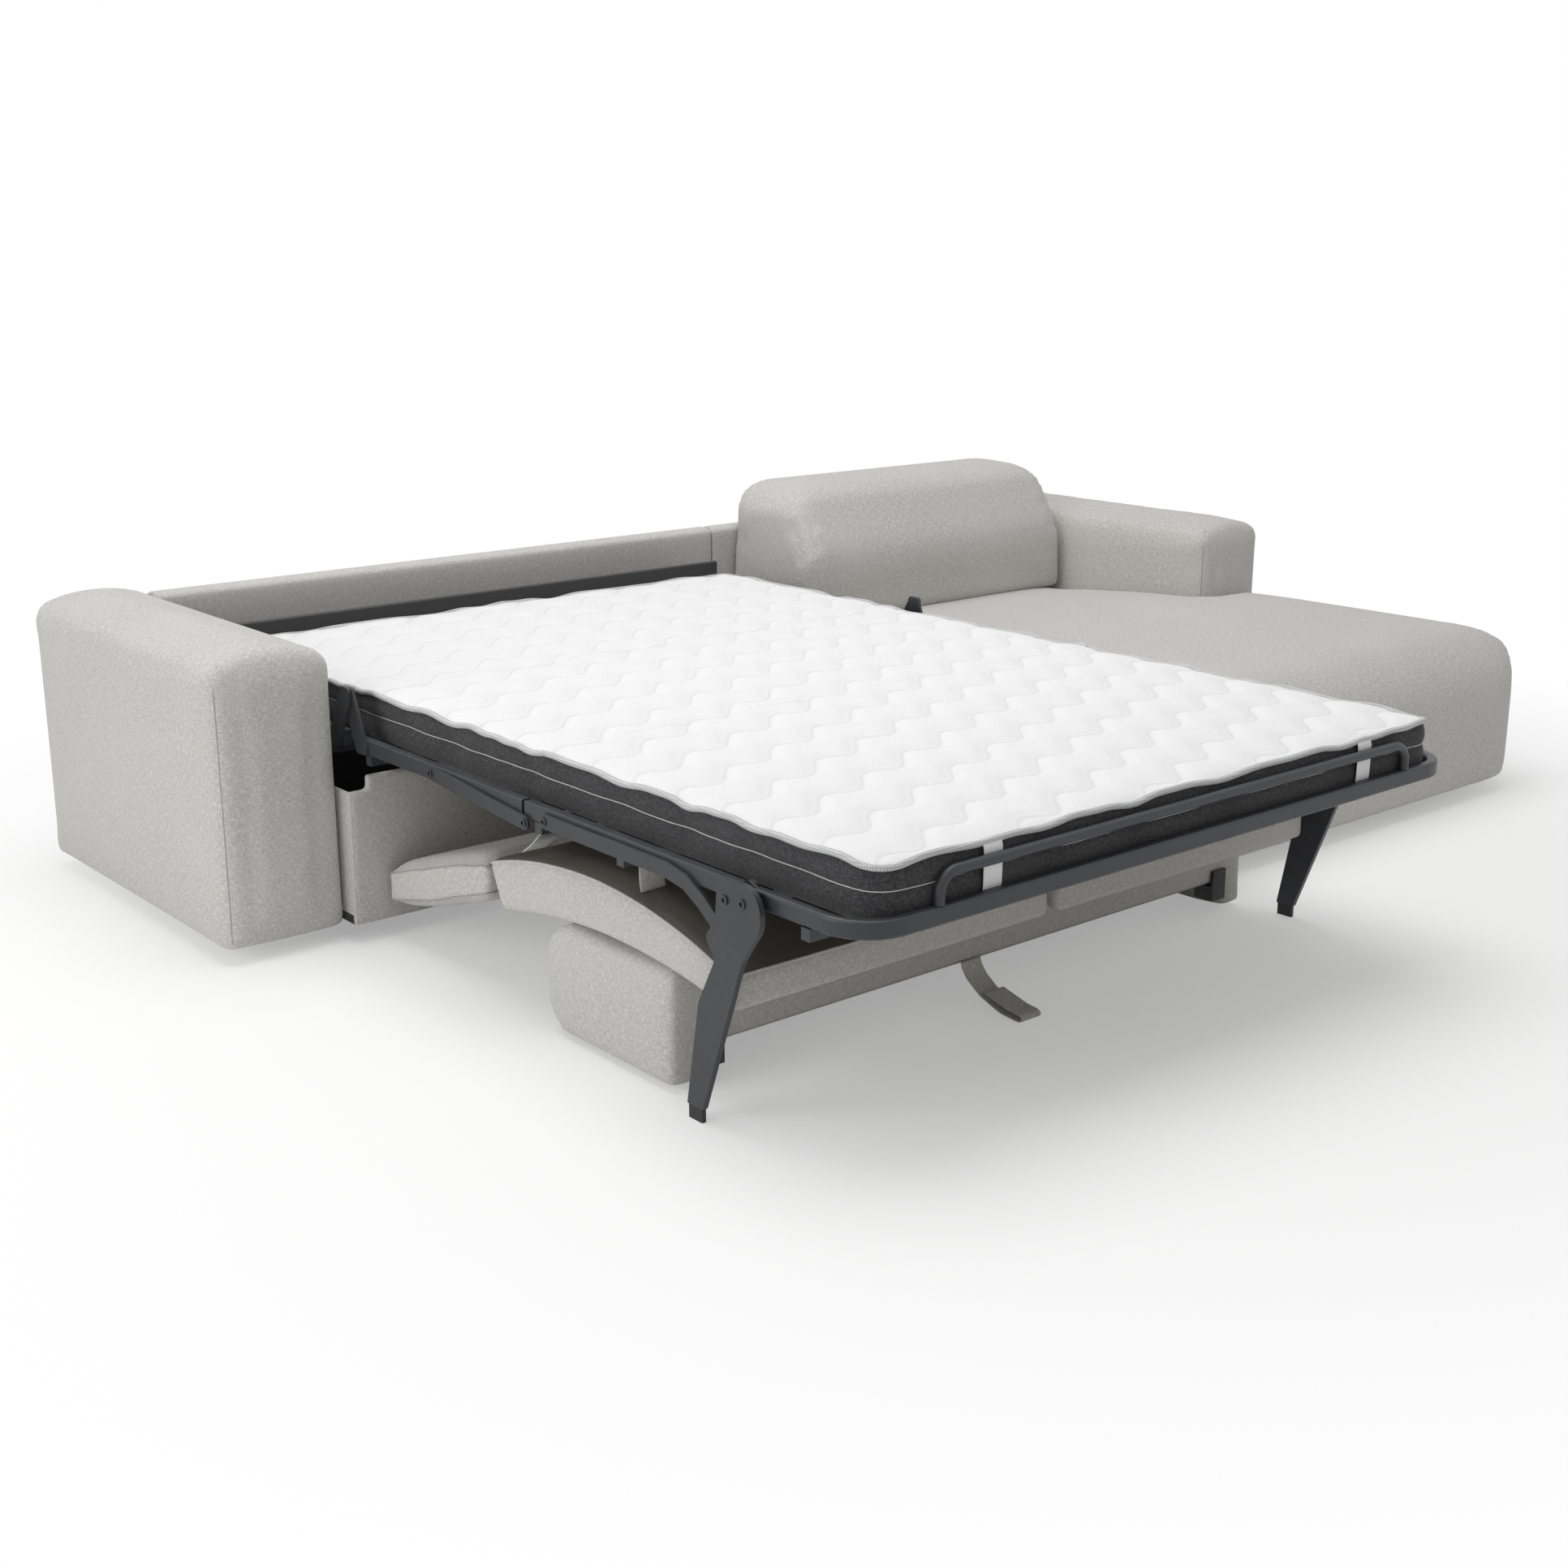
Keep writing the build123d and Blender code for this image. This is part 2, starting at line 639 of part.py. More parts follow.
# Upholstered block under the front section: a body on two cheeks that stand on the floor
block_x = (across(-rail_offset - 12), bed_right + rail_offset + 12)
body_x = (block_x[0] + block_cheek, block_x[1] - block_cheek)
body_bottom = block_bottom + block_lift
with BuildPart() as backrest_block:
    span_box(block_x, (along(block_front), along(block_front + block_length)),
             (block_bottom, block_bottom + block_height))
    fillet(backrest_block.edges().filter_by(Axis.X).group_by(Axis.Y)[-1], block_round)
    fillet(backrest_block.edges().filter_by(Axis.X).group_by(Axis.Y)[0], block_round * 0.16)
    fillet(backrest_block.faces().sort_by(Axis.X)[0].edges(), block_round * 0.1)
    fillet(backrest_block.faces().sort_by(Axis.X)[-1].edges(), block_round * 0.1)
    span_box(body_x, (along(block_front), along(block_front + block_length)),
             (block_bottom, body_bottom), Mode.SUBTRACT)
save("backrest_block", backrest_block.part)

# The web between the pads carries the block, and a bracket stands beside each cheek
bracket_z = (33, 97)
bracket_width = 40
block_top = block_bottom + block_height
with BuildPart() as block_hangers:
    bracket_x = (body_x[0], body_x[0] + bracket_width)
    span_box(bracket_x, (along(block_front) - plate, along(block_front)), bracket_z)
    span_box(bracket_x, (along(block_front), along(block_front) + bracket_width), (bracket_z[0], body_bottom))
    mirror(about=middle_plane)
    span_box((bed_middle - plate / 2, bed_middle + plate / 2),
             (along(front_tubes[1] - cross_tube / 2), along(front_tubes[1] + 3 * cross_tube)),
             (block_top, cross_bottom))
save("block_hangers", block_hangers.part)


# Loose cushions: two back pads draped over the block and two seat pads behind them
def soft_pad(name, x, low_front, low_middle, low_rear, top_rear, top_middle, top_front, soft):
    """A cushion with a bowed underside and top, drawn along X and softened all round."""
    with BuildPart() as pad:
        with BuildSketch(Plane.YZ.offset(x[0])):
            with BuildLine():
                ThreePointArc(at(low_front), at(low_middle), at(low_rear))
                Line(at(low_rear), at(top_rear))
                ThreePointArc(at(top_rear), at(top_middle), at(top_front))
                Line(at(top_front), at(low_front))
            make_face()
        extrude(amount=x[1] - x[0])
        fillet(pad.edges().filter_by(Axis.X), soft)
        fillet(pad.faces().sort_by(Axis.X)[0].edges(), soft * 0.6)
        fillet(pad.faces().sort_by(Axis.X)[-1].edges(), soft * 0.6)
    save(name, pad.part)


half_split = cushion_split / 2
seat_middle = (seat_pad_front + seat_pad_rear) / 2
seat_low = (seat_pad_front_low + seat_pad_rear_low) / 2
pad_left = block_x[0] + plate / 2
pad_right = block_x[1] - plate / 2
pad_spans = {"left": (pad_left, bed_middle - half_split), "right": (bed_middle + half_split, pad_right)}
for side, pad_x in pad_spans.items():
    soft_pad(f"back_cushion_{side}", pad_x,
             (back_pad_front + 16, back_pad_low), (back_pad_crest_place, back_pad_crest),
             (back_pad_rear - back_pad_undercut, back_pad_low - back_pad_rear_drop),
             (back_pad_rear, back_pad_low + back_pad_rear_thickness),
             (back_pad_crest_place + 20, back_pad_crest + back_pad_thickness),
             (back_pad_front, back_pad_low + back_pad_front_thickness), 18)
    soft_pad(f"seat_cushion_{side}", pad_x,
             (seat_pad_front + 7, seat_pad_front_low), (seat_middle, seat_low - seat_pad_crown),
             (seat_pad_rear, seat_pad_rear_low), (seat_pad_rear, seat_pad_rear_low + seat_pad_thickness),
             (seat_middle, seat_low + seat_pad_thickness + seat_pad_crown),
             (seat_pad_front, seat_pad_front_low + seat_pad_thickness), 18)

# Fabric straps: cushion tabs, seat webbing and the pull strap
tab_low = back_pad_crest + back_pad_thickness - tab_drop
tab_left = across(-12)
with BuildPart() as cushion_tabs:
    for tab_x in (tab_left, bed_middle - half_split - webbing_width - tab_margin):
        span_box((tab_x, tab_x + webbing_width),
                 (along(front_tubes[1] - webbing_thickness / 2), along(front_tubes[1] + webbing_thickness / 2)),
                 (tab_low, cross_bottom))
    mirror(about=middle_plane)
save("cushion_tabs", cushion_tabs.part)

webbing_top = (middle_tubes[0] + cross_tube / 2, cross_bottom - webbing_thickness)
webbing_foot = (seat_pad_front + 30, seat_pad_front_low + seat_pad_thickness - 5.1)
with BuildPart() as seat_webbing:
    for strip_x in (across(tab_margin), bed_middle - half_split - webbing_width - tab_margin):
        add(bent_bar((strip_x, strip_x + webbing_width),
                     ((middle_tubes[0], webbing_top[1] + webbing_thickness / 2), webbing_top, webbing_foot),
                     webbing_thickness))
    mirror(about=middle_plane)
save("seat_webbing", seat_webbing.part)

strap_x = across(pull_strap_side)
strap_root = (block_front - pull_strap_thickness / 2, body_bottom + pull_strap_width / 4)
strap_floor = pull_strap_thickness / 2
strap_end = strap_root[0] - pull_strap_reach
with BuildPart() as pull_strap:
    add(bent_bar((strap_x, strap_x + pull_strap_width),
                 (strap_root, (strap_root[0] - 12, 42), (strap_root[0] - 44, 16), (strap_end, strap_floor),
                  (strap_end - 5, 9), (strap_end + 4, 13), (strap_root[0] - 48, 22)), pull_strap_thickness))
save("pull_strap", pull_strap.part)
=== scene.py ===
"""Corner sofa bed opened out as a bed: fabrics, mattress, cushions, steel finishes, light and camera."""
import json
import math

import bmesh
import bpy
import numpy as np
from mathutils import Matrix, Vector
from mathutils.bvhtree import BVHTree


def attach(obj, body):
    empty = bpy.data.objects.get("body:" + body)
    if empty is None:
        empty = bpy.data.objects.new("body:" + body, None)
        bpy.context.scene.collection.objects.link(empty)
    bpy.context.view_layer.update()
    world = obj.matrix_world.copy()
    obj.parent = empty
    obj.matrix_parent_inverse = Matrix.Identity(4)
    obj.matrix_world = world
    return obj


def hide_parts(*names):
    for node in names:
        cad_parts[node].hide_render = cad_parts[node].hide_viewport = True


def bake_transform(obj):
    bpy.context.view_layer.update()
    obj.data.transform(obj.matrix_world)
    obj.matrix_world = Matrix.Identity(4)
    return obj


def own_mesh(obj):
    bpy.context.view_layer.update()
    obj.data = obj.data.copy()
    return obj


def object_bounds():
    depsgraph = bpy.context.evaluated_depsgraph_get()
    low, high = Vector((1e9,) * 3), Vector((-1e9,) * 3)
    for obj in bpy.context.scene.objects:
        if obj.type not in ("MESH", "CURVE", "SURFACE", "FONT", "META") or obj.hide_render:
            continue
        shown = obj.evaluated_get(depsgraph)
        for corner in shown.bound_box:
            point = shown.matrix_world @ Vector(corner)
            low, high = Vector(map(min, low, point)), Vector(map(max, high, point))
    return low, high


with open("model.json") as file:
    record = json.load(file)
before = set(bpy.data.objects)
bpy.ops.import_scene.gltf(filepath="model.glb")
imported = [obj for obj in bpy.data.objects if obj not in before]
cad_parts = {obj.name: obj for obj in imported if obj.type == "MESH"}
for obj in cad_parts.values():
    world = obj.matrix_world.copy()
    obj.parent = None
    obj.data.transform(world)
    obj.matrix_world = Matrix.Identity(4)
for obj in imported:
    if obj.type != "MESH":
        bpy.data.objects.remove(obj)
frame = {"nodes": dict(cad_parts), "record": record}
cad_low, cad_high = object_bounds()
nodes = frame["nodes"]
scene = bpy.context.scene

# All lengths are in metres. The bed's left side is at BED_X and its foot end at BED_Y.
BED_X = -1.221
BED_Y = -1.148
BED_WIDTH = 1.400
BED_LENGTH = 2.110
BED_MIDDLE = BED_X + BED_WIDTH / 2

# Wave lines of the mattress quilting, used by its mesh and by its material
QUILT_ROW = 0.118
QUILT_COLUMN = 0.146
QUILT_WAVE = 0.020


# Shader node helpers
class Shader:
    """A small wrapper that adds nodes to one tree and links them."""

    # The colour sockets of a Mix node share their names with its other sockets, so they go by number
    MIX_FACTOR, MIX_FIRST, MIX_SECOND, MIX_RESULT = 0, 6, 7, 2

    def __init__(self, tree):
        self.tree = tree

    def node(self, kind, **settings):
        made = self.tree.nodes.new("ShaderNode" + kind)
        for name, value in settings.items():
            setattr(made, name, value)
        return made

    def link(self, source, target):
        self.tree.links.new(source, target)

    def feed(self, socket, value):
        """Link a socket to another, or set it to a plain value."""
        if isinstance(value, bpy.types.NodeSocket):
            self.link(value, socket)
        else:
            socket.default_value = value

    def math(self, operation, first, second=0.0, clamp=False):
        made = self.node("Math", operation=operation, use_clamp=clamp)
        self.feed(made.inputs[0], first)
        self.feed(made.inputs[1], second)
        return made.outputs[0]

    def plus(self, first, second):
        return self.math("ADD", first, second)

    def minus(self, first, second):
        return self.math("SUBTRACT", first, second)

    def times(self, first, second):
        return self.math("MULTIPLY", first, second)

    def over(self, first, second):
        return self.math("DIVIDE", first, second)

    def larger(self, first, second):
        return self.math("MAXIMUM", first, second)

    def absolute(self, value):
        return self.math("ABSOLUTE", value)

    def sine(self, value):
        return self.math("SINE", value)

    def ramp(self, value, low, high, start=0.0, end=1.0):
        """A smooth step from start to end as the value goes from low to high."""
        made = self.node("MapRange", interpolation_type="SMOOTHSTEP")
        for socket, amount in zip(made.inputs[:5], (value, low, high, start, end)):
            self.feed(socket, amount)
        return made.outputs[0]

    def mix_colour(self, factor, first, second):
        made = self.node("Mix", data_type="RGBA")
        self.feed(made.inputs[self.MIX_FACTOR], factor)
        self.feed(made.inputs[self.MIX_FIRST], first)
        self.feed(made.inputs[self.MIX_SECOND], second)
        return made.outputs[self.MIX_RESULT]

    def noise(self, vector, scale, detail=2.0, roughness=0.5):
        made = self.node("TexNoise")
        self.link(vector, made.inputs["Vector"])
        self.feed(made.inputs["Scale"], scale)
        set_inputs(made, Detail=detail, Roughness=roughness)
        return made.outputs["Fac"]

    def vector(self, x, y, z=0.0):
        made = self.node("CombineXYZ")
        for socket, value in zip(made.inputs, (x, y, z)):
            self.feed(socket, value)
        return made.outputs[0]

    def bump(self, height, strength, distance):
        made = self.node("Bump")
        set_inputs(made, Strength=strength, Distance=distance)
        self.link(height, made.inputs["Height"])
        return made.outputs["Normal"]

    def place(self):
        """The place in the piece's own coordinates."""
        return self.node("TexCoord").outputs["Object"]

    def axes(self):
        """The three coordinates of that place."""
        split = self.node("SeparateXYZ")
        self.link(self.place(), split.inputs[0])
        return split.outputs

    def seen(self):
        """One for what the camera sees, straight or by way of a glossy or clear surface."""
        path = self.node("LightPath").outputs
        indirect = self.plus(path["Is Glossy Ray"], path["Is Transmission Ray"])
        return self.math("ADD", path["Is Camera Ray"], indirect, clamp=True)


def set_inputs(node, **values):
    """Set a node's inputs by name, with _ for a space."""
    for name, value in values.items():
        node.inputs[name.replace("_", " ")].default_value = value


def opaque(colour, share=1.0):
    """A colour with its alpha, darkened or lightened by a share."""
    return (*(part * share for part in colour), 1)


def effect_group(name, inputs, outputs):
    """An empty shader node group with named inputs and outputs."""
    tree = bpy.data.node_groups.new(name, "ShaderNodeTree")
    for label, value in inputs:
        socket = tree.interface.new_socket(label, in_out="INPUT", socket_type="NodeSocketFloat")
        socket.default_value = value
    for label in outputs:
        tree.interface.new_socket(label, in_out="OUTPUT", socket_type="NodeSocketFloat")
    given = tree.nodes.new("NodeGroupInput").outputs
    out = tree.nodes.new("NodeGroupOutput").inputs
    return tree, Shader(tree), given, out


def flat_coordinates(shader):
    """Two coordinates that lie in the surface, chosen by which way the surface faces."""
    texture = shader.node("TexCoord").outputs
    split = shader.node("SeparateXYZ")
    facing = shader.node("SeparateXYZ")
    shader.link(texture["Object"], split.inputs[0])
    shader.link(texture["Normal"], facing.inputs[0])
    x, y, z = split.outputs
    side, front, top = [shader.absolute(part) for part in facing.outputs]
    to_side = shader.math("GREATER_THAN", side, shader.larger(front, top))
    to_top = shader.math("GREATER_THAN", top, shader.larger(side, front))
    across = shader.plus(x, shader.times(to_side, shader.minus(y, x)))
    along = shader.plus(z, shader.times(to_top, shader.minus(y, z)))
    return across, along


def make_woven_group():
    """Woven cloth: slubs that run both ways, broad shading and a thread relief."""
    tree, shader, given, out = effect_group(
        "woven_cloth", (("Thread Size", 0.0018), ("Slub Length", 0.022)), ("Slubs", "Shade", "Relief"))
    across, along = flat_coordinates(shader)
    fine = shader.over(0.9, given["Thread Size"])
    long = shader.over(1.0, given["Slub Length"])
    weft = shader.noise(shader.vector(shader.times(across, long), shader.times(along, fine)), 1.0)
    warp = shader.noise(shader.vector(shader.times(across, fine), shader.times(along, long)), 1.0)
    slubs = shader.larger(weft, warp)
    turns = shader.over(math.tau, given["Thread Size"])
    threads = shader.times(shader.sine(shader.times(across, turns)), shader.sine(shader.times(along, turns)))
    shader.link(shader.ramp(slubs, 0.44, 0.70), out["Slubs"])
    shader.link(shader.noise(shader.place(), 3.5, detail=3.0, roughness=0.6), out["Shade"])
    shader.link(shader.plus(shader.times(threads, 0.25), slubs), out["Relief"])
    return tree


def make_coating_group():
    """Powder coat on steel: a fine orange peel, faint clouding and worn edges."""
    tree, shader, given, out = effect_group(
        "powder_coat", (("Grain Size", 0.0012),), ("Cloud", "Wear", "Relief"))
    place = shader.place()
    edge = shader.ramp(shader.node("NewGeometry").outputs["Pointiness"], 0.56, 0.68)
    patches = shader.ramp(shader.noise(place, 60.0, detail=3.0), 0.5, 0.75, 0.0, 0.5)
    shader.link(shader.noise(place, 12.0, detail=3.0), out["Cloud"])
    shader.link(shader.times(edge, patches), out["Wear"])
    shader.link(shader.noise(place, shader.over(1.0, given["Grain Size"]), detail=1.0), out["Relief"])
    return tree


woven_group = make_woven_group()
coating_group = make_coating_group()


# Materials
def new_material(name, **surface_values):
    """A material with its Principled BSDF set, and the wrapper that adds to it."""
    material = bpy.data.materials.new(name)
    material.use_nodes = True
    surface = material.node_tree.nodes["Principled BSDF"]
    set_inputs(surface, **surface_values)
    return material, Shader(material.node_tree), surface


def use_group(shader, tree, **values):
    """A node group put into a material, with its inputs set; gives its outputs."""
    made = shader.node("Group", node_tree=tree)
    set_inputs(made, **values)
    return made.outputs


def cloth_material(name, dark, light, roughness=0.92, thread=0.0018, slub=0.022, relief=0.35, sheen=0.2):
    """Woven upholstery cloth in two yarn tones."""
    material, shader, surface = new_material(
        name, Roughness=roughness, Sheen_Weight=sheen, Sheen_Roughness=0.5, Specular_IOR_Level=0.25)
    woven = use_group(shader, woven_group, Thread_Size=thread, Slub_Length=slub)
    yarn = shader.mix_colour(woven["Slubs"], opaque(dark), opaque(light))
    shade = shader.ramp(woven["Shade"], 0.35, 0.75, 0.0, 0.35)
    shader.link(shader.mix_colour(shade, yarn, opaque(light, 0.93)), surface.inputs["Base Color"])
    shader.link(shader.bump(woven["Relief"], strength=relief, distance=0.0007), surface.inputs["Normal"])
    return material


def steel_material(name, colour, worn, roughness=0.42):
    """Painted steel with a slight orange peel and rubbed edges."""
    material, shader, surface = new_material(name, Specular_IOR_Level=0.45)
    coat = use_group(shader, coating_group, Grain_Size=0.0012)
    cloudy = shader.mix_colour(coat["Cloud"], opaque(colour, 0.82), opaque(colour))
    shader.link(shader.mix_colour(coat["Wear"], cloudy, opaque(worn)), surface.inputs["Base Color"])
    gloss = shader.ramp(coat["Cloud"], 0.2, 0.8, roughness - 0.06, roughness + 0.08)
    shader.link(gloss, surface.inputs["Roughness"])
    shader.link(shader.bump(coat["Relief"], strength=0.12, distance=0.0006), surface.inputs["Normal"])
    return material


def wood_material(name, pale, brown):
    """Plain birch with grain along the bed."""
    material, shader, surface = new_material(name, Roughness=0.55)
    x, y, z = shader.axes()
    drawn_out = shader.vector(shader.times(x, 180.0), shader.times(y, 5.0), z)
    grain = shader.noise(drawn_out, 1.0, detail=5.0, roughness=0.6)
    tone = shader.mix_colour(shader.ramp(grain, 0.3, 0.75), opaque(pale), opaque(brown))
    shader.link(tone, surface.inputs["Base Color"])
    shader.link(shader.bump(grain, strength=0.15, distance=0.0008), surface.inputs["Normal"])
    return material


def plastic_material(name, colour):
    """Moulded plastic with a fine spark texture."""
    material, shader, surface = new_material(name, Roughness=0.6)
    spark = shader.noise(shader.place(), 900.0)
    shader.link(shader.mix_colour(spark, opaque(colour), opaque(colour, 1.5)), surface.inputs["Base Color"])
    shader.link(shader.bump(spark, strength=0.2, distance=0.0005), surface.inputs["Normal"])
    return material


def knit_material(name):
    """White quilted ticking with a fine knit, and stitched wave lines that step up the bed, with painted
    shade darkening the knit in their grooves.
    """
    material, shader, surface = new_material(name, Roughness=0.85, Sheen_Weight=0.1, Specular_IOR_Level=0.2)
    woven = use_group(shader, woven_group, Thread_Size=0.0034, Slub_Length=0.006)
    x, y, _ = shader.axes()
    column = shader.over(shader.minus(x, BED_X), QUILT_COLUMN)
    swing = shader.times(shader.sine(shader.times(column, math.tau)), QUILT_WAVE)
    wave = shader.plus(shader.times(column, QUILT_ROW / 2), swing)
    row = shader.over(shader.minus(shader.minus(y, BED_Y), wave), QUILT_ROW)
    away = shader.absolute(shader.minus(row, shader.math("ROUND", row)))
    knit = shader.mix_colour(woven["Slubs"], (0.83, 0.83, 0.83, 1), (0.88, 0.88, 0.878, 1))
    # Painted shade: the knit colour is darkened along the stitched wave lines, where the quilting grooves lie
    # in shade.
    groove_shaded_knit = shader.mix_colour(shader.ramp(away, 0.004, 0.075), (0.77, 0.77, 0.775, 1), knit)
    shader.link(groove_shaded_knit, surface.inputs["Base Color"])
    drawn_out = shader.vector(shader.times(x, 30.0), shader.times(y, 130.0))
    pleats = shader.noise(drawn_out, 1.0, detail=3.0)
    near = shader.times(pleats, shader.ramp(away, 0.0, 0.25, 1.0, 0.15))
    height = shader.plus(shader.times(woven["Relief"], 0.15), near)
    shader.link(shader.bump(height, strength=0.35, distance=0.004), surface.inputs["Normal"])
    return material


def piping_material(name, dot_size=0.0075):
    """Mesh binding tape along the mattress edge, with rows of pale dots."""
    material, shader, surface = new_material(name, Roughness=0.8)
    across, along = flat_coordinates(shader)
    turns = math.tau / dot_size
    first = shader.sine(shader.times(shader.plus(across, along), turns))
    second = shader.sine(shader.times(shader.minus(across, along), turns))
    dots = shader.ramp(shader.times(first, second), -0.1, 0.45)
    tone = shader.mix_colour(dots, (0.44, 0.44, 0.45, 1), (0.78, 0.78, 0.78, 1))
    shader.link(tone, surface.inputs["Base Color"])
    shader.link(shader.bump(dots, strength=0.4, distance=0.001), surface.inputs["Normal"])
    return material


grey_cloth = cloth_material("grey_upholstery_cloth", (0.465, 0.458, 0.433), (0.665, 0.658, 0.628),
                            thread=0.0019, slub=0.011, relief=0.15)
seam_cloth = cloth_material("grey_seam", (0.30, 0.295, 0.275), (0.46, 0.452, 0.43))
lining_cloth = cloth_material("olive_lining", (0.088, 0.084, 0.071), (0.112, 0.107, 0.091),
                              roughness=0.42, thread=0.004, slub=0.004, relief=0.12, sheen=0.0)
border_cloth = cloth_material("charcoal_border", (0.030, 0.030, 0.032), (0.085, 0.085, 0.089),
                              roughness=0.9, thread=0.0022, slub=0.009, sheen=0.15)
base_cloth = cloth_material("mattress_underside", (0.10, 0.10, 0.10), (0.16, 0.16, 0.16))
white_thread = cloth_material("white_thread", (0.66, 0.66, 0.65), (0.82, 0.82, 0.81),
                              roughness=0.8, thread=0.0015, slub=0.004)
white_tape = cloth_material("white_tape", (0.88, 0.88, 0.875), (0.94, 0.94, 0.935), roughness=0.8, slub=0.005)
quilt_knit = knit_material("white_quilt_knit")
edge_tape = piping_material("dotted_edge_tape")
slate_steel = steel_material("slate_powder_coat", (0.038, 0.040, 0.047), (0.080, 0.083, 0.092))
black_steel = steel_material("black_powder_coat", (0.012, 0.012, 0.013), (0.05, 0.05, 0.052))
birch = wood_material("birch_slats", (0.60, 0.44, 0.28), (0.42, 0.28, 0.16))
# Painted shade: the deck board behind the apron gets a near-black woven cloth, which stands in for the shade
# in the space under the sofa.
deck_shade_cloth = cloth_material("black_deck_painted_shade", (0.006, 0.006, 0.006), (0.016, 0.016, 0.016), roughness=0.95)
black_plastic = plastic_material("black_foot_plastic", (0.014, 0.014, 0.015))

# The finish of each material slot of the CAD, put on every rigid node
finishes = {"upholstery_fabric": grey_cloth, "mattress_cover": quilt_knit, "white_webbing": white_tape,
            "slate_steel": slate_steel, "black_steel": black_steel, "slat_wood": birch, "board": deck_shade_cloth,
            "black_plastic": black_plastic}
for entry in frame["record"]["subparts"]:
    rigid = nodes[entry["node"]]
    rigid.data.materials.clear()
    rigid.data.materials.append(finishes[entry["material_slot"]])


# Mesh helpers
CORD_SIDES = 6
TRIM_SIDES = 8
SEAM_STEP = 0.012
CLOTH_FRAMES = 14
CLOTH_PRESSURE = 4.0
TINY = 1e-9


def mesh_piece(name, points, faces, materials, indices=None):
    """A new smooth-shaded mesh object from points and faces."""
    mesh = bpy.data.meshes.new(name)
    mesh.from_pydata([tuple(point) for point in points], [], [tuple(face) for face in faces])
    for material in materials:
        mesh.materials.append(material)
    if indices is not None:
        mesh.polygons.foreach_set("material_index", indices)
    shade_smooth(mesh)
    piece = bpy.data.objects.new(name, mesh)
    scene.collection.objects.link(piece)
    return piece


def shade_smooth(mesh):
    """Shade every face smooth."""
    mesh.polygons.foreach_set("use_smooth", [True] * len(mesh.polygons))
    mesh.update()


def coordinates(mesh):
    """The places of a mesh's points, as rows of three."""
    found = np.empty(len(mesh.vertices) * 3)
    mesh.vertices.foreach_get("co", found)
    return found.reshape(-1, 3)


def face_outwards(piece, sharp=None):
    """Turn every face outwards, and mark the edges that bend by more than an angle as sharp."""
    shell = bmesh.new()
    shell.from_mesh(piece.data)
    bmesh.ops.recalc_face_normals(shell, faces=shell.faces)
    if sharp is not None:
        for edge in shell.edges:
            if len(edge.link_faces) == 2 and edge.calc_face_angle(0) > sharp:
                edge.smooth = False
    shell.to_mesh(piece.data)
    shell.free()


def directions(path):
    """Unit vectors along an open line of points."""
    ahead = np.gradient(path, axis=0)
    return ahead / np.linalg.norm(ahead, axis=1, keepdims=True)


def skin(count, sides, closed=False):
    """Faces that join rings of points into a tube, with an end face at each open end."""
    faces = []
    for ring in range(count if closed else count - 1):
        after = (ring + 1) % count
        for turn in range(sides):
            beside = (turn + 1) % sides
            faces.append((ring * sides + turn, ring * sides + beside,
                          after * sides + beside, after * sides + turn))
    if not closed:
        faces.append(tuple(range(sides))[::-1])
        faces.append(tuple((count - 1) * sides + turn for turn in range(sides)))
    return faces


def tube(name, path, radius, material, sides, closed=False):
    """A round cord along a list of points."""
    path = np.asarray(path, float)
    if closed:
        ahead = np.roll(path, -1, 0) - np.roll(path, 1, 0)
        ahead /= np.linalg.norm(ahead, axis=1, keepdims=True)
    else:
        ahead = directions(path)
    upright = np.abs(ahead[:, 2:3]) > 0.9
    side = np.cross(ahead, np.where(upright, [[1.0, 0.0, 0.0]], [[0.0, 0.0, 1.0]]))
    side /= np.linalg.norm(side, axis=1, keepdims=True)
    up = np.cross(side, ahead)
    angles = np.arange(sides) * math.tau / sides
    rings = (path[:, None, :] + radius * np.cos(angles)[None, :, None] * side[:, None, :]
             + radius * np.sin(angles)[None, :, None] * up[:, None, :])
    return mesh_piece(name, rings.reshape(-1, 3), skin(len(path), sides, closed), [material])


def sewn_cord(name, path, radius, material, body, closed=False):
    """A seam or piping of the upholstery, on the body that carries it."""
    cord = tube(name, path, radius, material, CORD_SIDES, closed)
    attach(cord, body)
    return cord


def spaced(corners, step):
    """Points spaced evenly along a line through the given corners."""
    corners = [Vector(corner) for corner in corners]
    made = []
    for start, end in zip(corners, corners[1:]):
        parts = max(1, int((end - start).length / step))
        made.extend(start.lerp(end, part / parts) for part in range(parts))
    return made + corners[-1:]


def relaxed_line(path, rounds):
    """A line with its inner points drawn towards their neighbours."""
    path = np.array(path)
    for _ in range(rounds):
        path[1:-1] = (path[:-2] + 2 * path[1:-1] + path[2:]) / 4
    return path


def surface_seam(name, target, corners, radius, body, sink=0.4):
    """A sewn seam that follows the surface of a soft piece near the given corners."""
    tree = BVHTree.FromObject(target, bpy.context.evaluated_depsgraph_get())
    path = []
    for point in spaced(corners, SEAM_STEP):
        place, normal, _, _ = tree.find_nearest(point)
        path.append(place - normal * radius * sink)
    sewn_cord(name, relaxed_line(path, 3), radius, seam_cloth, body)


def relax(mesh, points, rounds):
    """Put a mesh's points where they lie after some rounds of moving towards their neighbours' mean."""
    edges = np.empty(len(mesh.edges) * 2, np.int64)
    mesh.edges.foreach_get("vertices", edges)
    first, second = edges.reshape(-1, 2).T
    degree = np.bincount(edges, minlength=len(points))[:, None]
    for _ in range(rounds):
        total = np.zeros_like(points)
        np.add.at(total, first, points[second])
        np.add.at(total, second, points[first])
        points = 0.4 * points + 0.6 * total / degree
    mesh.vertices.foreach_set("co", points.ravel())
    mesh.update()


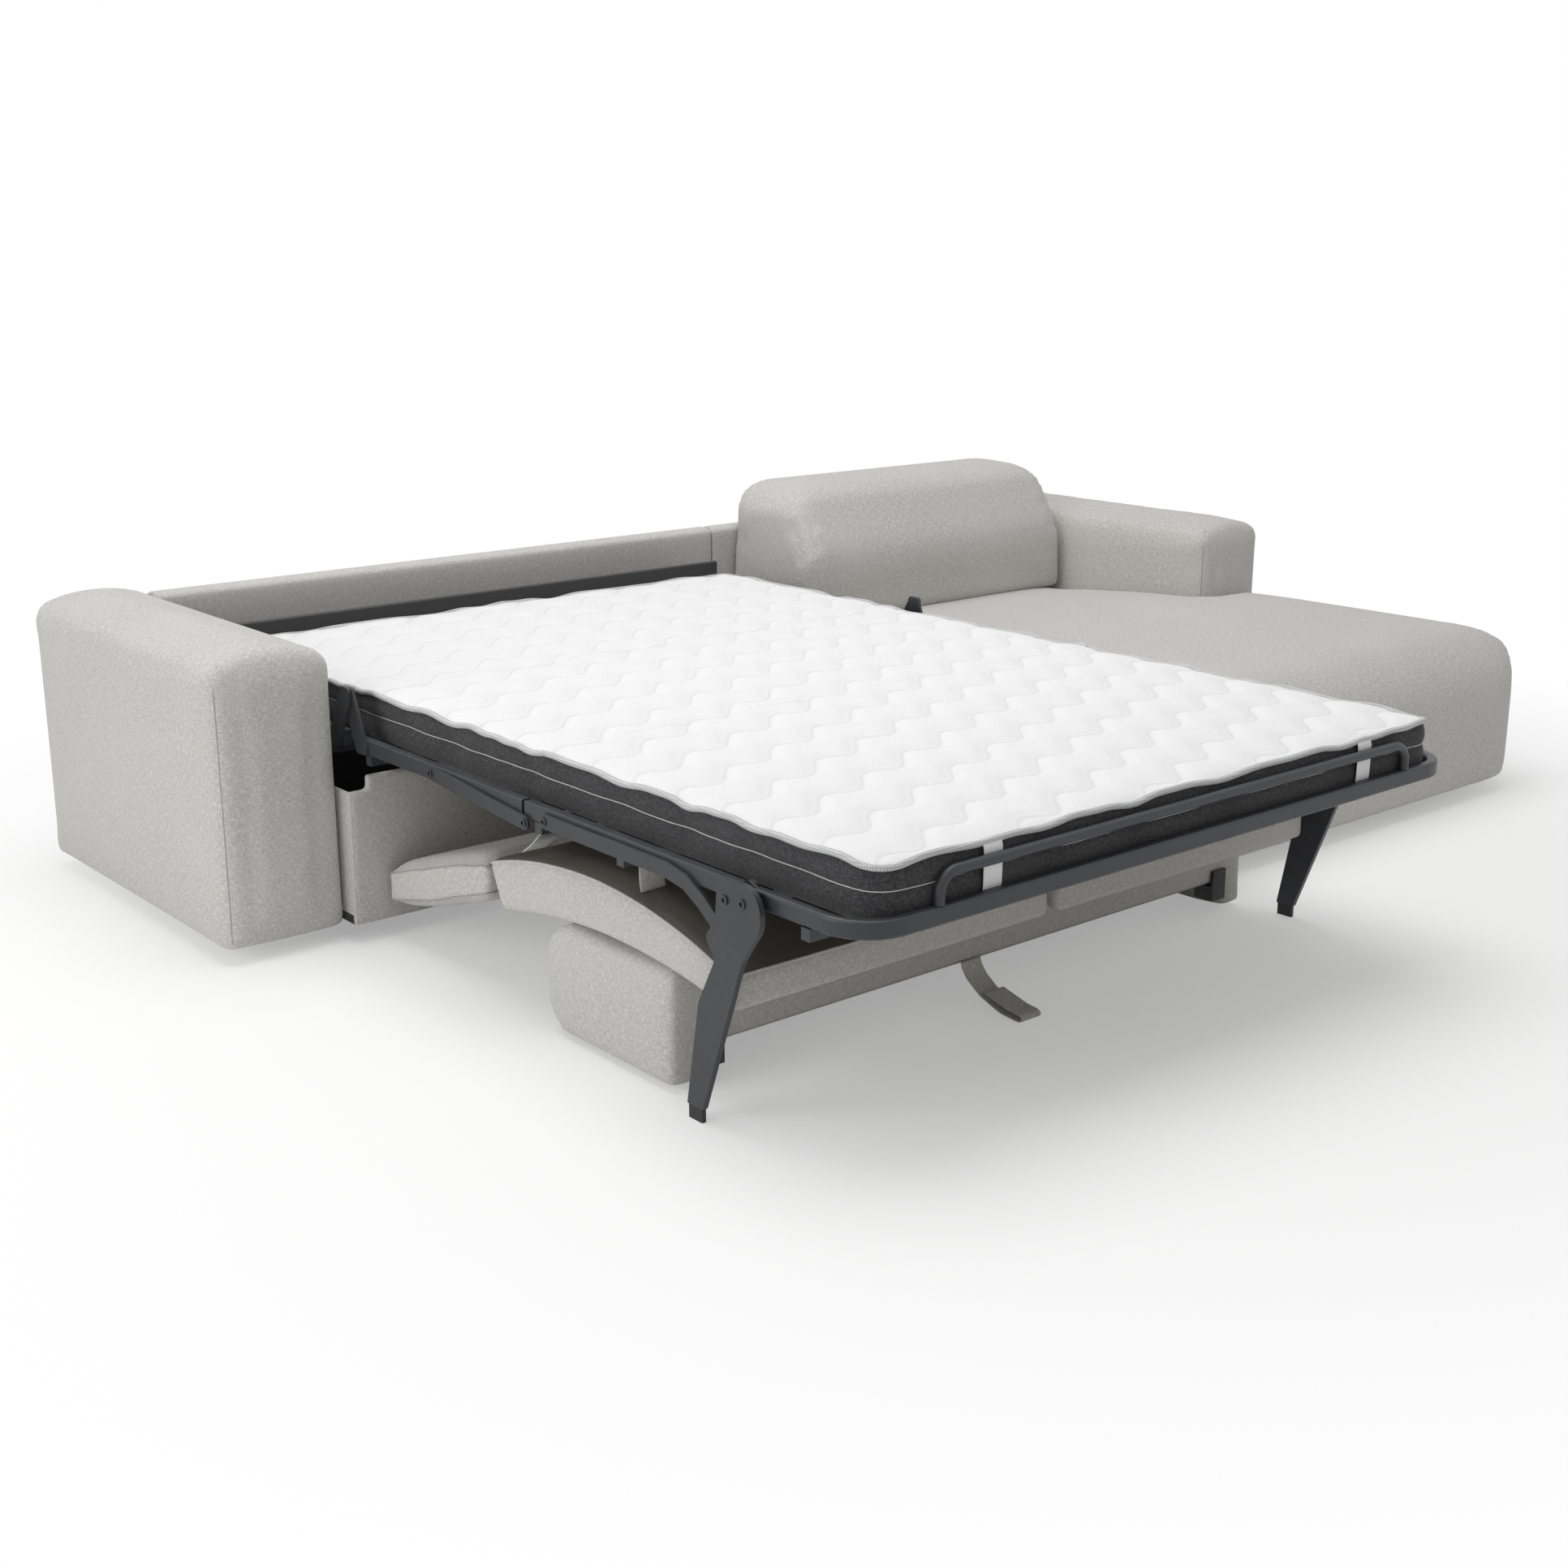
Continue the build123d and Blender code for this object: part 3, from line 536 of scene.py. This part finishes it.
def blow_up(piece, swell):
    """Swell a padded piece as cloth under pressure, by at most the given distance, and keep the result."""
    mesh = piece.data
    rest = coordinates(mesh)
    if swell:
        cloth = piece.modifiers.new("cloth", "CLOTH")
        cloth.settings.quality = 3
        cloth.settings.mass = 0.3
        cloth.settings.use_pressure = True
        cloth.settings.uniform_pressure_force = CLOTH_PRESSURE
        cloth.settings.effector_weights.gravity = 0
        cloth.collision_settings.use_collision = False
        for step in range(1, CLOTH_FRAMES + 1):
            scene.frame_set(step)
        blown = piece.evaluated_get(bpy.context.evaluated_depsgraph_get()).to_mesh()
        move = coordinates(blown) - rest
        piece.modifiers.clear()
        scene.frame_set(1)
        reach = np.linalg.norm(move, axis=1, keepdims=True)
        move *= np.minimum(1.0, swell / np.maximum(reach, TINY))
        relax(mesh, rest + move, 1)
    shade_smooth(mesh)


def upholster(piece, node, body):
    """Stand a padded piece in for a plain solid, on the body that carries it."""
    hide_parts(node)
    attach(piece, body)


def plump(name, node, body, voxel, swell, fill, soften):
    """A padded piece grown from a plain solid: remeshed, softened and blown up as cloth."""
    piece = bpy.data.objects.new(name, nodes[node].data.copy())
    scene.collection.objects.link(piece)
    remesh = piece.modifiers.new("remesh", "REMESH")
    remesh.mode = "VOXEL"
    remesh.voxel_size = voxel
    piece.data = bpy.data.meshes.new_from_object(
        piece.evaluated_get(bpy.context.evaluated_depsgraph_get()))
    piece.modifiers.clear()
    relax(piece.data, coordinates(piece.data), soften)
    piece.data.materials.clear()
    piece.data.materials.append(grey_cloth)
    blow_up(piece, swell)
    upholster(piece, node, body)
    return piece


# Fixed sofa and chaise, and the backrest block that hangs under the bed
ARM_FRONT = BED_Y + 1.435
ARM_TOP = 0.612
RIGHT_ARM = 0.255
ARM_SEAM = 0.0014
ARM_SEAM_LOW = 0.045
ARM_SEAM_HIGH = ARM_TOP - 0.035
ARM_SEAM_TURN = (0.022, 0.014)
ARM_SEAM_END = ARM_TOP - 0.010
BLOCK_SEAM = 0.0012
BLOCK_SEAM_INSET = 0.030
BLOCK_SEAM_Y = BED_Y + 0.436
BLOCK_SEAM_Z = 0.069
APRON_SPAN = (BED_X - 0.0845, BED_X + BED_WIDTH + 0.0795)
APRON_RETURN = (0.005, 0.066, 0.270)
APRON_RETURN_Y = ARM_FRONT + 0.008
APRON_RETURN_Z = 0.176
APRON_BEVEL = 0.0015

# Name, CAD node, body, voxel size, swell, fill and rounds of softening
padding_plan = (
    ("left_arm_padding", "left_arm", "base", 0.011, 0.004, 0.9, 4),
    ("right_arm_padding", "right_arm", "base", 0.011, 0.004, 0.9, 4),
    ("back_panel_padding", "back_panel", "base", 0.009, 0.0, 0.9, 1),
    ("chaise_back_panel_padding", "chaise_back_panel", "base", 0.009, 0.0, 0.9, 1),
    ("apron_cloth", "base_apron", "base", 0.005, 0.0, 0.9, 1),
    ("chaise_seat_padding", "chaise_seat", "base", 0.018, 0.010, 0.85, 4),
    ("chaise_back_cushion_soft", "chaise_back_cushion", "base", 0.012, 0.005, 0.75, 3),
    ("backrest_block_padding", "backrest_block", "front_section", 0.012, 0.003, 0.9, 2),
)
padding = {row[1]: plump(*row) for row in padding_plan}

# Returns of the apron cloth beside the arm and the chaise
for label, return_x in (("left", APRON_SPAN[0]), ("right", APRON_SPAN[1] - APRON_RETURN[0])):
    side = bpy.data.objects.new(f"apron_return_{label}", bpy.data.meshes.new(f"apron_return_{label}"))
    scene.collection.objects.link(side)
    centre = (return_x + APRON_RETURN[0] / 2, APRON_RETURN_Y, APRON_RETURN_Z)
    shell = bmesh.new()
    bmesh.ops.create_cube(shell, size=1)
    bmesh.ops.scale(shell, vec=APRON_RETURN, verts=shell.verts)
    bmesh.ops.translate(shell, vec=centre, verts=shell.verts)
    bmesh.ops.bevel(shell, geom=shell.edges, offset=APRON_BEVEL, segments=2, affect="EDGES")
    shell.to_mesh(side.data)
    shell.free()
    side.data.materials.append(grey_cloth)
    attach(side, "base")

# Sewn seams up the arms' front corners and along the block's lower edge
for label, edge_x in (("left_arm", cad_low[0]), ("right_arm", cad_high[0] - RIGHT_ARM)):
    corners = [(edge_x, ARM_FRONT, ARM_SEAM_LOW), (edge_x, ARM_FRONT, ARM_SEAM_HIGH),
               (edge_x + ARM_SEAM_TURN[0], ARM_FRONT + ARM_SEAM_TURN[1], ARM_SEAM_END)]
    surface_seam(f"{label}_seam", padding[label], corners, ARM_SEAM, "base")
block_ends = (BED_X + BLOCK_SEAM_INSET, BED_X + BED_WIDTH - BLOCK_SEAM_INSET)
corners = [(end, BLOCK_SEAM_Y, BLOCK_SEAM_Z) for end in block_ends]
surface_seam("block_seam", padding["backrest_block"], corners, BLOCK_SEAM, "front_section")

# Loose pads under the bed
PAD_OVERHANG = 0.039
PAD_SPLIT = 0.006
PAD_STEP = 0.012
PAD_LAYERS = 7
PAD_SOFTEN = 3
BACK_SWELL = 0.005
BACK_UNDERCUT = 0.042
BACK_PIPING = 0.0022
SEAT_SWELL = 0.016
SEAT_DRAW_IN = 0.005
SEAT_PIPING = 0.0018


def arc_height(*places):
    """The height of the circle through three places in the side view, by the place along Y."""
    first, middle, last = [np.array((BED_Y + along, height)) for along, height in places]
    chords = 2 * np.array((middle - first, last - first))
    centre = np.linalg.solve(chords, (middle @ middle - first @ first, last @ last - first @ first))
    radius = math.dist(first, centre)
    above = 1 if middle[1] > centre[1] else -1
    return lambda place: centre[1] + above * math.sqrt(max(0.0, radius ** 2 - (place - centre[0]) ** 2))


def box_pad(name, node, body, x, y, under, over, swell, top=None, draw_in=0.0, undercut=0.0):
    """A boxed cushion with a curved underside and top, its sides drawn in, and its two edge seams' loops."""
    counts = (int((x[1] - x[0]) / PAD_STEP), int((y[1] - y[0]) / PAD_STEP), PAD_LAYERS)
    number = {}
    points = []

    def corner(cell):
        if cell not in number:
            number[cell] = len(points)
            across, along, up = [index / count for index, count in zip(cell, counts)]
            place = y[0] + (y[1] - undercut * (1 - up) - y[0]) * along
            tuck = draw_in * (1 - (2 * up - 1) ** 2)
            inward = -1 if cell[0] == counts[0] else 1 if cell[0] == 0 else 0
            points.append((x[0] + (x[1] - x[0]) * across + inward * tuck, place,
                           under(place) + (over(place) - under(place)) * up))
        return number[cell]

    faces = []
    marks = []
    for axis in range(3):
        first, second = [other for other in range(3) if other != axis]
        for end in (0, counts[axis]):
            for u in range(counts[first]):
                for v in range(counts[second]):
                    face = []
                    for du, dv in ((0, 0), (1, 0), (1, 1), (0, 1)):
                        cell = [end] * 3
                        cell[first] = u + du
                        cell[second] = v + dv
                        face.append(corner(tuple(cell)))
                    faces.append(face)
                    marks.append(1 if axis == 2 and end and top else 0)
    piece = mesh_piece(name, points, faces, [grey_cloth] + ([top] if top else []), marks)
    face_outwards(piece)
    relax(piece.data, coordinates(piece.data), PAD_SOFTEN)
    blow_up(piece, swell)
    upholster(piece, node, body)
    found = coordinates(piece.data)
    wide, deep, high = counts
    loops = []
    for k in (0, high):
        loop = [(i, 0, k) for i in range(wide)] + [(wide, j, k) for j in range(deep)]
        loop += [(i, deep, k) for i in range(wide, 0, -1)] + [(0, j, k) for j in range(deep, 0, -1)]
        loops.append(found[[number[cell] for cell in loop]])
    return piece, loops


back_under = arc_height((0.304, 0.182), (0.600, 0.218), (0.959, 0.174))
back_over = arc_height((0.288, 0.240), (0.620, 0.316), (1.004, 0.262))
back_span = (BED_Y + 0.290, BED_Y + 1.000)
seat_under = arc_height((1.023, 0.192), (1.209, 0.129), (1.402, 0.078))
seat_over = arc_height((1.016, 0.252), (1.209, 0.201), (1.402, 0.138))
seat_span = (BED_Y + 1.019, BED_Y + 1.399)
pad_sides = (("left", (BED_X - PAD_OVERHANG, BED_MIDDLE - PAD_SPLIT)),
             ("right", (BED_MIDDLE + PAD_SPLIT, BED_X + BED_WIDTH + PAD_OVERHANG)))
for side, reach in pad_sides:
    pad, loops = box_pad(f"back_cushion_{side}_soft", f"back_cushion_{side}", "front_section", reach,
                         back_span, back_under, back_over, BACK_SWELL, lining_cloth, undercut=BACK_UNDERCUT)
    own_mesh(pad)
    piping = sewn_cord(f"back_cushion_{side}_piping", loops[1], BACK_PIPING, grey_cloth,
                       "front_section", closed=True)
    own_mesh(piping)
    pad, loops = box_pad(f"seat_cushion_{side}_soft", f"seat_cushion_{side}", "seat_pads", reach,
                         seat_span, seat_under, seat_over, SEAT_SWELL, draw_in=SEAT_DRAW_IN)
    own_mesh(pad)
    for number, loop in enumerate(loops):
        piping = sewn_cord(f"seat_cushion_{side}_piping_{number}", loop, SEAT_PIPING, seam_cloth,
                           "seat_pads", closed=True)
        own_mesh(piping)

# Mattress: heights, quilting, border folds and trims
MATTRESS_CROWN = 0.498
PIPING_HEIGHT = 0.487
SEAM_HEIGHT = 0.447
FOOT_CORNER = 0.048
CORNER_ROWS = 9
CORNER_TURN = math.pi / 20
ROW_STEP = 0.0085
COLUMNS = 168
QUILT_DEPTH = 0.0065
QUILT_GROOVE = 0.016
EDGE_WAVE = 0.0045
EDGE_ROUNDING = 0.020
FOLD_DEPTH = 0.0030
FOLD_SLANT = 0.8
FOLD_RANGE = (0.400, 0.484)
SHARP_EDGE = math.radians(50)
TAPE_RADIUS = 0.0055
TAPE_OFFSET = 0.0005
THREAD_RADIUS = 0.0009
THREAD_INSET = 0.0010
QUILT, BORDER, UNDERSIDE = range(3)

# Height and bulge of the border cloth, from the piping down to the underside
BORDER_PROFILE = ((0.484, -0.0030), (0.479, 0.0005), (0.470, 0.0030), (0.460, 0.0032), (0.452, 0.0012),
                  (0.447, -0.0016), (0.442, 0.0010), (0.433, 0.0030), (0.420, 0.0032), (0.408, 0.0018),
                  (0.401, -0.0012), (0.397, -0.0060))


def quilt_height(x, y):
    """How far the quilted top lies below its crown, most of all at its stitched wave lines."""
    column = (x - BED_X) / QUILT_COLUMN
    wave = 0.5 * QUILT_ROW * column + QUILT_WAVE * np.sin(math.tau * column)
    row = (y - BED_Y - wave) / QUILT_ROW
    slope = (0.5 * QUILT_ROW + math.tau * QUILT_WAVE * np.cos(math.tau * column)) / QUILT_COLUMN
    away = np.abs(row - np.round(row)) * QUILT_ROW / np.sqrt(1 + slope ** 2)
    return -QUILT_DEPTH * np.exp(-(away / QUILT_GROOVE) ** 2)


def border_fold(x, y):
    """Soft upright folds of the border cloth along the mattress edge."""
    place = y + FOLD_SLANT * x
    return (0.55 * np.sin(place * 27.0 + 1.1 * np.sin(place * 7.3)) + 0.3 * np.sin(place * 43.0 + 1.3)
            + 0.3 * np.sin(place * 61.0 + 2.0 * np.sin(place * 11.0)))


def row_places(start, end, foot_end):
    """Places of the mesh rows along the bed, and half the mattress's width at each."""
    if not foot_end:
        rows = np.linspace(start, end, int((end - start) / ROW_STEP) + 1)
        return rows, np.full(len(rows), BED_WIDTH / 2)
    curved = FOOT_CORNER * (1 - np.cos(np.arange(CORNER_ROWS) * CORNER_TURN))
    straight = np.linspace(FOOT_CORNER, end, int((end - FOOT_CORNER) / ROW_STEP) + 1)
    rows = np.concatenate([curved, straight])
    near = np.clip(FOOT_CORNER - rows, 0, FOOT_CORNER)
    return rows, BED_WIDTH / 2 - FOOT_CORNER + np.sqrt(FOOT_CORNER ** 2 - near ** 2)


def quilted_top(rows, half, foot_end, head_end):
    """Points of the quilted top, which rounds down to the piping at its free edges."""
    share = np.linspace(-1, 1, COLUMNS + 1)
    x = BED_MIDDLE + half[:, None] * share[None, :]
    y = BED_Y + np.repeat(rows[:, None], COLUMNS + 1, 1)
    inside = half[:, None] * (1 - np.abs(share[None, :]))
    if foot_end:
        inside = np.minimum(inside, rows[:, None])
    if head_end:
        inside = np.minimum(inside, rows[-1] - rows[:, None])
    rise = 1 - np.exp(-inside / EDGE_ROUNDING)
    crown = (MATTRESS_CROWN - PIPING_HEIGHT + quilt_height(x, y)) * rise
    z = PIPING_HEIGHT + crown + EDGE_WAVE * border_fold(x, y) * (1 - rise)
    return list(np.stack([x, y, z], 2).reshape(-1, 3))


def border_rings(edge, out, fold):
    """Rings of the border cloth that hang from the edge of the top."""
    for height, bulge in BORDER_PROFILE:
        share = (height - FOLD_RANGE[0]) / (FOLD_RANGE[1] - FOLD_RANGE[0])
        reach = bulge + FOLD_DEPTH * fold * math.sin(math.pi * min(1, max(0, share)))
        follow = max(0.0, (height - SEAM_HEIGHT) / (PIPING_HEIGHT - SEAM_HEIGHT))
        level = height + (edge[:, 2] - PIPING_HEIGHT) * follow
        yield np.column_stack([edge[:, :2] + out * reach[:, None], level])


def mattress_length(name, start, end, foot_end, head_end):
    """One length of the mattress: quilted top, folded border and flat underside, with its outlines."""
    rows, half = row_places(start, end, foot_end)
    points = quilted_top(rows, half, foot_end, head_end)
    wide = COLUMNS + 1
    last = len(rows) - 1
    faces = [(j * wide + i, j * wide + i + 1, (j + 1) * wide + i + 1, (j + 1) * wide + i)
             for j in range(last) for i in range(COLUMNS)]
    marks = [QUILT] * len(faces)

    # Free edges of the top, as runs of point numbers
    left = [j * wide for j in range(last, -1, -1)]
    right = [j * wide + COLUMNS for j in range(last + 1)]
    if foot_end:
        runs = [left + list(range(1, COLUMNS)) + right]
    elif head_end:
        runs = [right + [last * wide + i for i in range(COLUMNS - 1, 0, -1)] + left]
    else:
        runs = [left, right]

    # The border hangs from each run
    middle = np.array([BED_MIDDLE, BED_Y + (start + end) / 2])
    below = {}
    outlines = []
    for run in runs:
        edge = np.array([points[index] for index in run])
        ahead = directions(edge[:, :2])
        out = np.stack([ahead[:, 1], -ahead[:, 0]], 1)
        out *= np.sign(((edge[:, :2] - middle) * out).sum(1))[:, None]
        fold = border_fold(edge[:, 0], edge[:, 1])
        rings = [run]
        for ring in border_rings(edge, out, fold):
            rings.append(list(range(len(points), len(points) + len(ring))))
            points.extend(ring)
        for upper, lower in zip(rings, rings[1:]):
            for k in range(len(run) - 1):
                faces.append((upper[k], lower[k], lower[k + 1], upper[k + 1]))
                marks.append(BORDER)
        for column in zip(*rings):
            below[column[0]] = list(column)
        outlines.append((edge, out, fold))

    # Underside, and the flat ends where two lengths meet
    flat = []
    for j in range(last):
        near = range(COLUMNS + 1) if foot_end and j == 0 else (0, COLUMNS)
        far = range(COLUMNS, -1, -1) if head_end and j == last - 1 else (COLUMNS, 0)
        flat.append([below[j * wide + i][-1] for i in near] + [below[(j + 1) * wide + i][-1] for i in far])
    if not head_end:
        flat.append(list(range(last * wide, last * wide + wide)) + below[last * wide + COLUMNS][1:]
                    + below[last * wide][:0:-1])
    if not foot_end:
        flat.append(list(range(COLUMNS, -1, -1)) + below[0][1:] + below[COLUMNS][:0:-1])
    marks += [UNDERSIDE] * len(flat)
    piece = mesh_piece(name, points, faces + flat, [quilt_knit, border_cloth, base_cloth], marks)
    face_outwards(piece, SHARP_EDGE)
    return piece, outlines


def bind_mattress(piece, section):
    """Apply the place of a front-section piece of the mattress to its mesh, or let a piece ride on its own
    section.
    """
    if section == "front_section":
        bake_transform(piece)
    else:
        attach(piece, section)


# Name, start and end along the bed, foot end, head end, section and CAD nodes
mattress_plan = (
    ("mattress_front_quilted", 0.0, 0.8458, True, False, "front_section",
     ("mattress_foot", "mattress_bend", "mattress_front")),
    ("mattress_middle_quilted", 0.8462, 1.4498, False, False, "middle_section", ("mattress_middle",)),
    ("mattress_head_quilted", 1.4502, BED_LENGTH, False, True, "head_section", ("mattress_head",)),
)
for name, start, end, foot_end, head_end, section, stood_for in mattress_plan:
    length, outlines = mattress_length(name, start, end, foot_end, head_end)
    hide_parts(*stood_for)
    bind_mattress(length, section)
    for number, (edge, out, fold) in enumerate(outlines):
        rim = np.column_stack([edge[:, :2] + out * TAPE_OFFSET, edge[:, 2] + TAPE_OFFSET])
        seam = np.column_stack([edge[:, :2] + out * (FOLD_DEPTH * fold[:, None] - THREAD_INSET),
                                np.full(len(edge), SEAM_HEIGHT)])
        for label, path, radius, finish in (("edge_tape", rim, TAPE_RADIUS, edge_tape),
                                            ("border_seam", seam, THREAD_RADIUS, white_thread)):
            trim = tube(f"{name}_{label}_{number}", path, radius, finish, TRIM_SIDES)
            bind_mattress(trim, section)

# Straps: width and thickness, places across the bed, and paths by the place along the bed and the height
MATTRESS_STRAP = (0.040, 0.0012)
MATTRESS_STRAP_INSET = 0.228
MATTRESS_STRAP_PATH = ((0.002, 0.3975), (-0.0072, 0.406), (-0.0080, 0.445), (-0.0082, 0.484),
                       (-0.0060, 0.4925), (0.004, 0.4965))
PULL_STRAP = (0.050, 0.0026)
PULL_STRAP_PLACE = 0.641
PULL_STRAP_PATH = ((0.4362, 0.0735), (0.4350, 0.066), (0.420, 0.046), (0.385, 0.023), (0.335, 0.006),
                   (0.289, 0.0022), (0.2800, 0.0075), (0.2860, 0.0150), (0.315, 0.0170), (0.375, 0.0320))
WEBBING = (0.050, 0.0025)
TAB_PLACES = (0.013, 0.599, 0.801, 1.387)
TAB_PATH = ((0.560, 0.3645), (0.5605, 0.350), (0.560, 0.326), (0.556, 0.3135))
SEAT_WEBBING_PLACES = (0.095, 0.599, 0.801, 1.305)
SEAT_WEBBING_PATH = ((0.900, 0.3633), (0.912, 0.3615), (0.940, 0.336), (1.010, 0.272), (1.046, 0.2475))
STRAP_STEP = 0.006
FINE_STRAP_STEP = 0.003

# Corners of a strap's cross section, as shares of its width and thickness
STRAP_SECTION = ((-0.5, 0.30), (-0.46, 0.5), (0.46, 0.5), (0.5, 0.30),
                 (0.5, -0.30), (0.46, -0.5), (-0.46, -0.5), (-0.5, -0.30))


def ribbon(name, node, path, place, size, material, step=STRAP_STEP):
    """A flat woven strap that follows a path in the side view."""
    width, thickness = size
    path = relaxed_line(spaced([(0, BED_Y + along, height) for along, height in path], step), 4)
    normal = np.cross(directions(path), [[1.0, 0.0, 0.0]])
    lines = [path + [[BED_X + place + width * side, 0, 0]] + normal * thickness * up
             for side, up in STRAP_SECTION]
    points = np.stack(lines, 1).reshape(-1, 3)
    strap = mesh_piece(name, points, skin(len(path), len(STRAP_SECTION)), [material])
    face_outwards(strap)
    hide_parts(node)
    return strap


for number, place in enumerate((MATTRESS_STRAP_INSET, BED_WIDTH - MATTRESS_STRAP_INSET)):
    strap = ribbon(f"mattress_strap_{number}", "mattress_straps", MATTRESS_STRAP_PATH, place, MATTRESS_STRAP,
                   white_tape)
    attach(strap, "foot_section")

strap = ribbon("pull_strap_tape", "pull_strap", PULL_STRAP_PATH, PULL_STRAP_PLACE, PULL_STRAP,
               grey_cloth, FINE_STRAP_STEP)
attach(strap, "front_section")

for number, place in enumerate(TAB_PLACES):
    tab = ribbon(f"cushion_tab_{number}", "cushion_tabs", TAB_PATH, place, WEBBING,
                 grey_cloth)
    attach(tab, "front_section")

for number, place in enumerate(SEAT_WEBBING_PLACES):
    strip = ribbon(f"seat_webbing_{number}", "seat_webbing", SEAT_WEBBING_PATH, place, WEBBING,
                   white_tape)
    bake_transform(strip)

# Floor that fades to white away from the sofa
FLOOR_RADIUS = 14
FLOOR_SIDES = 96
FADE_START = 1.2
FADE_END = 2.8
FADE_NEAR = 0.34
bpy.ops.mesh.primitive_circle_add(vertices=FLOOR_SIDES, radius=FLOOR_RADIUS, fill_type="NGON",
                                  location=(0, 0, 0))
floor = bpy.context.object
floor.name = "floor"
floor_paint, shader, surface = new_material(
    "pale_floor", Base_Color=(0.93, 0.93, 0.925, 1), Roughness=0.9, Specular_IOR_Level=0.1)
distance = shader.node("VectorMath", operation="LENGTH")
shader.link(shader.place(), distance.inputs[0])
fade = shader.ramp(distance.outputs["Value"], FADE_START, FADE_END, FADE_NEAR, 1.0)
white = shader.node("Emission")
set_inputs(white, Strength=1.0)
mix = shader.node("MixShader")
shader.link(shader.times(fade, shader.seen()), mix.inputs[0])
shader.link(surface.outputs[0], mix.inputs[1])
shader.link(white.outputs[0], mix.inputs[2])
shader.link(mix.outputs[0], floor_paint.node_tree.nodes["Material Output"].inputs["Surface"])
floor.data.materials.append(floor_paint)

# White room: full white where it is seen, and weaker as light
ROOM_LIGHT = 0.39
world = bpy.data.worlds.new("white_room")
scene.world = world
world.use_nodes = True
room = Shader(world.node_tree)
background = world.node_tree.nodes["Background"]
set_inputs(background, Color=(1, 1, 1, 1))
room.link(room.plus(ROOM_LIGHT, room.times(room.seen(), 1 - ROOM_LIGHT)), background.inputs["Strength"])


def soft_light(name, place, target, size, power):
    """A round softbox that faces its target."""
    lamp = bpy.data.lights.new(name, "AREA")
    lamp.shape = "DISK"
    lamp.size = size
    lamp.energy = power
    holder = bpy.data.objects.new(name, lamp)
    holder.location = place
    holder.rotation_euler = (Vector(target) - Vector(place)).to_track_quat("-Z", "Y").to_euler()
    scene.collection.objects.link(holder)


soft_light("overhead_softbox", (-0.6, 0.2, 4.6), (-0.1, 0.1, 0.3), 4.2, 135)
soft_light("left_softbox", (-4.4, 0.1, 1.5), (-1.4, 0.1, 0.35), 2.2, 37)

# Camera fitted to the photograph: its place is measured from the bed's corner, its angles are in degrees
SENSOR = 36
PHOTO_PIXELS = 1932
FOCAL_PIXELS = 2480.44
CAMERA_PLACE = (-1.85507, -1.99737, 1.37072)
CAMERA_TILT = 15.519
CAMERA_TURN = -40.095
eye = bpy.data.cameras.new("photo_camera")
eye.sensor_width = SENSOR
eye.lens = SENSOR * FOCAL_PIXELS / PHOTO_PIXELS
camera = bpy.data.objects.new("photo_camera", eye)
camera.location = (CAMERA_PLACE[0] + BED_X, CAMERA_PLACE[1] + BED_Y, CAMERA_PLACE[2])
camera.rotation_euler = (math.radians(90 - CAMERA_TILT), 0, math.radians(CAMERA_TURN))
scene.collection.objects.link(camera)
scene.camera = camera
scene.view_settings.view_transform = "Standard"
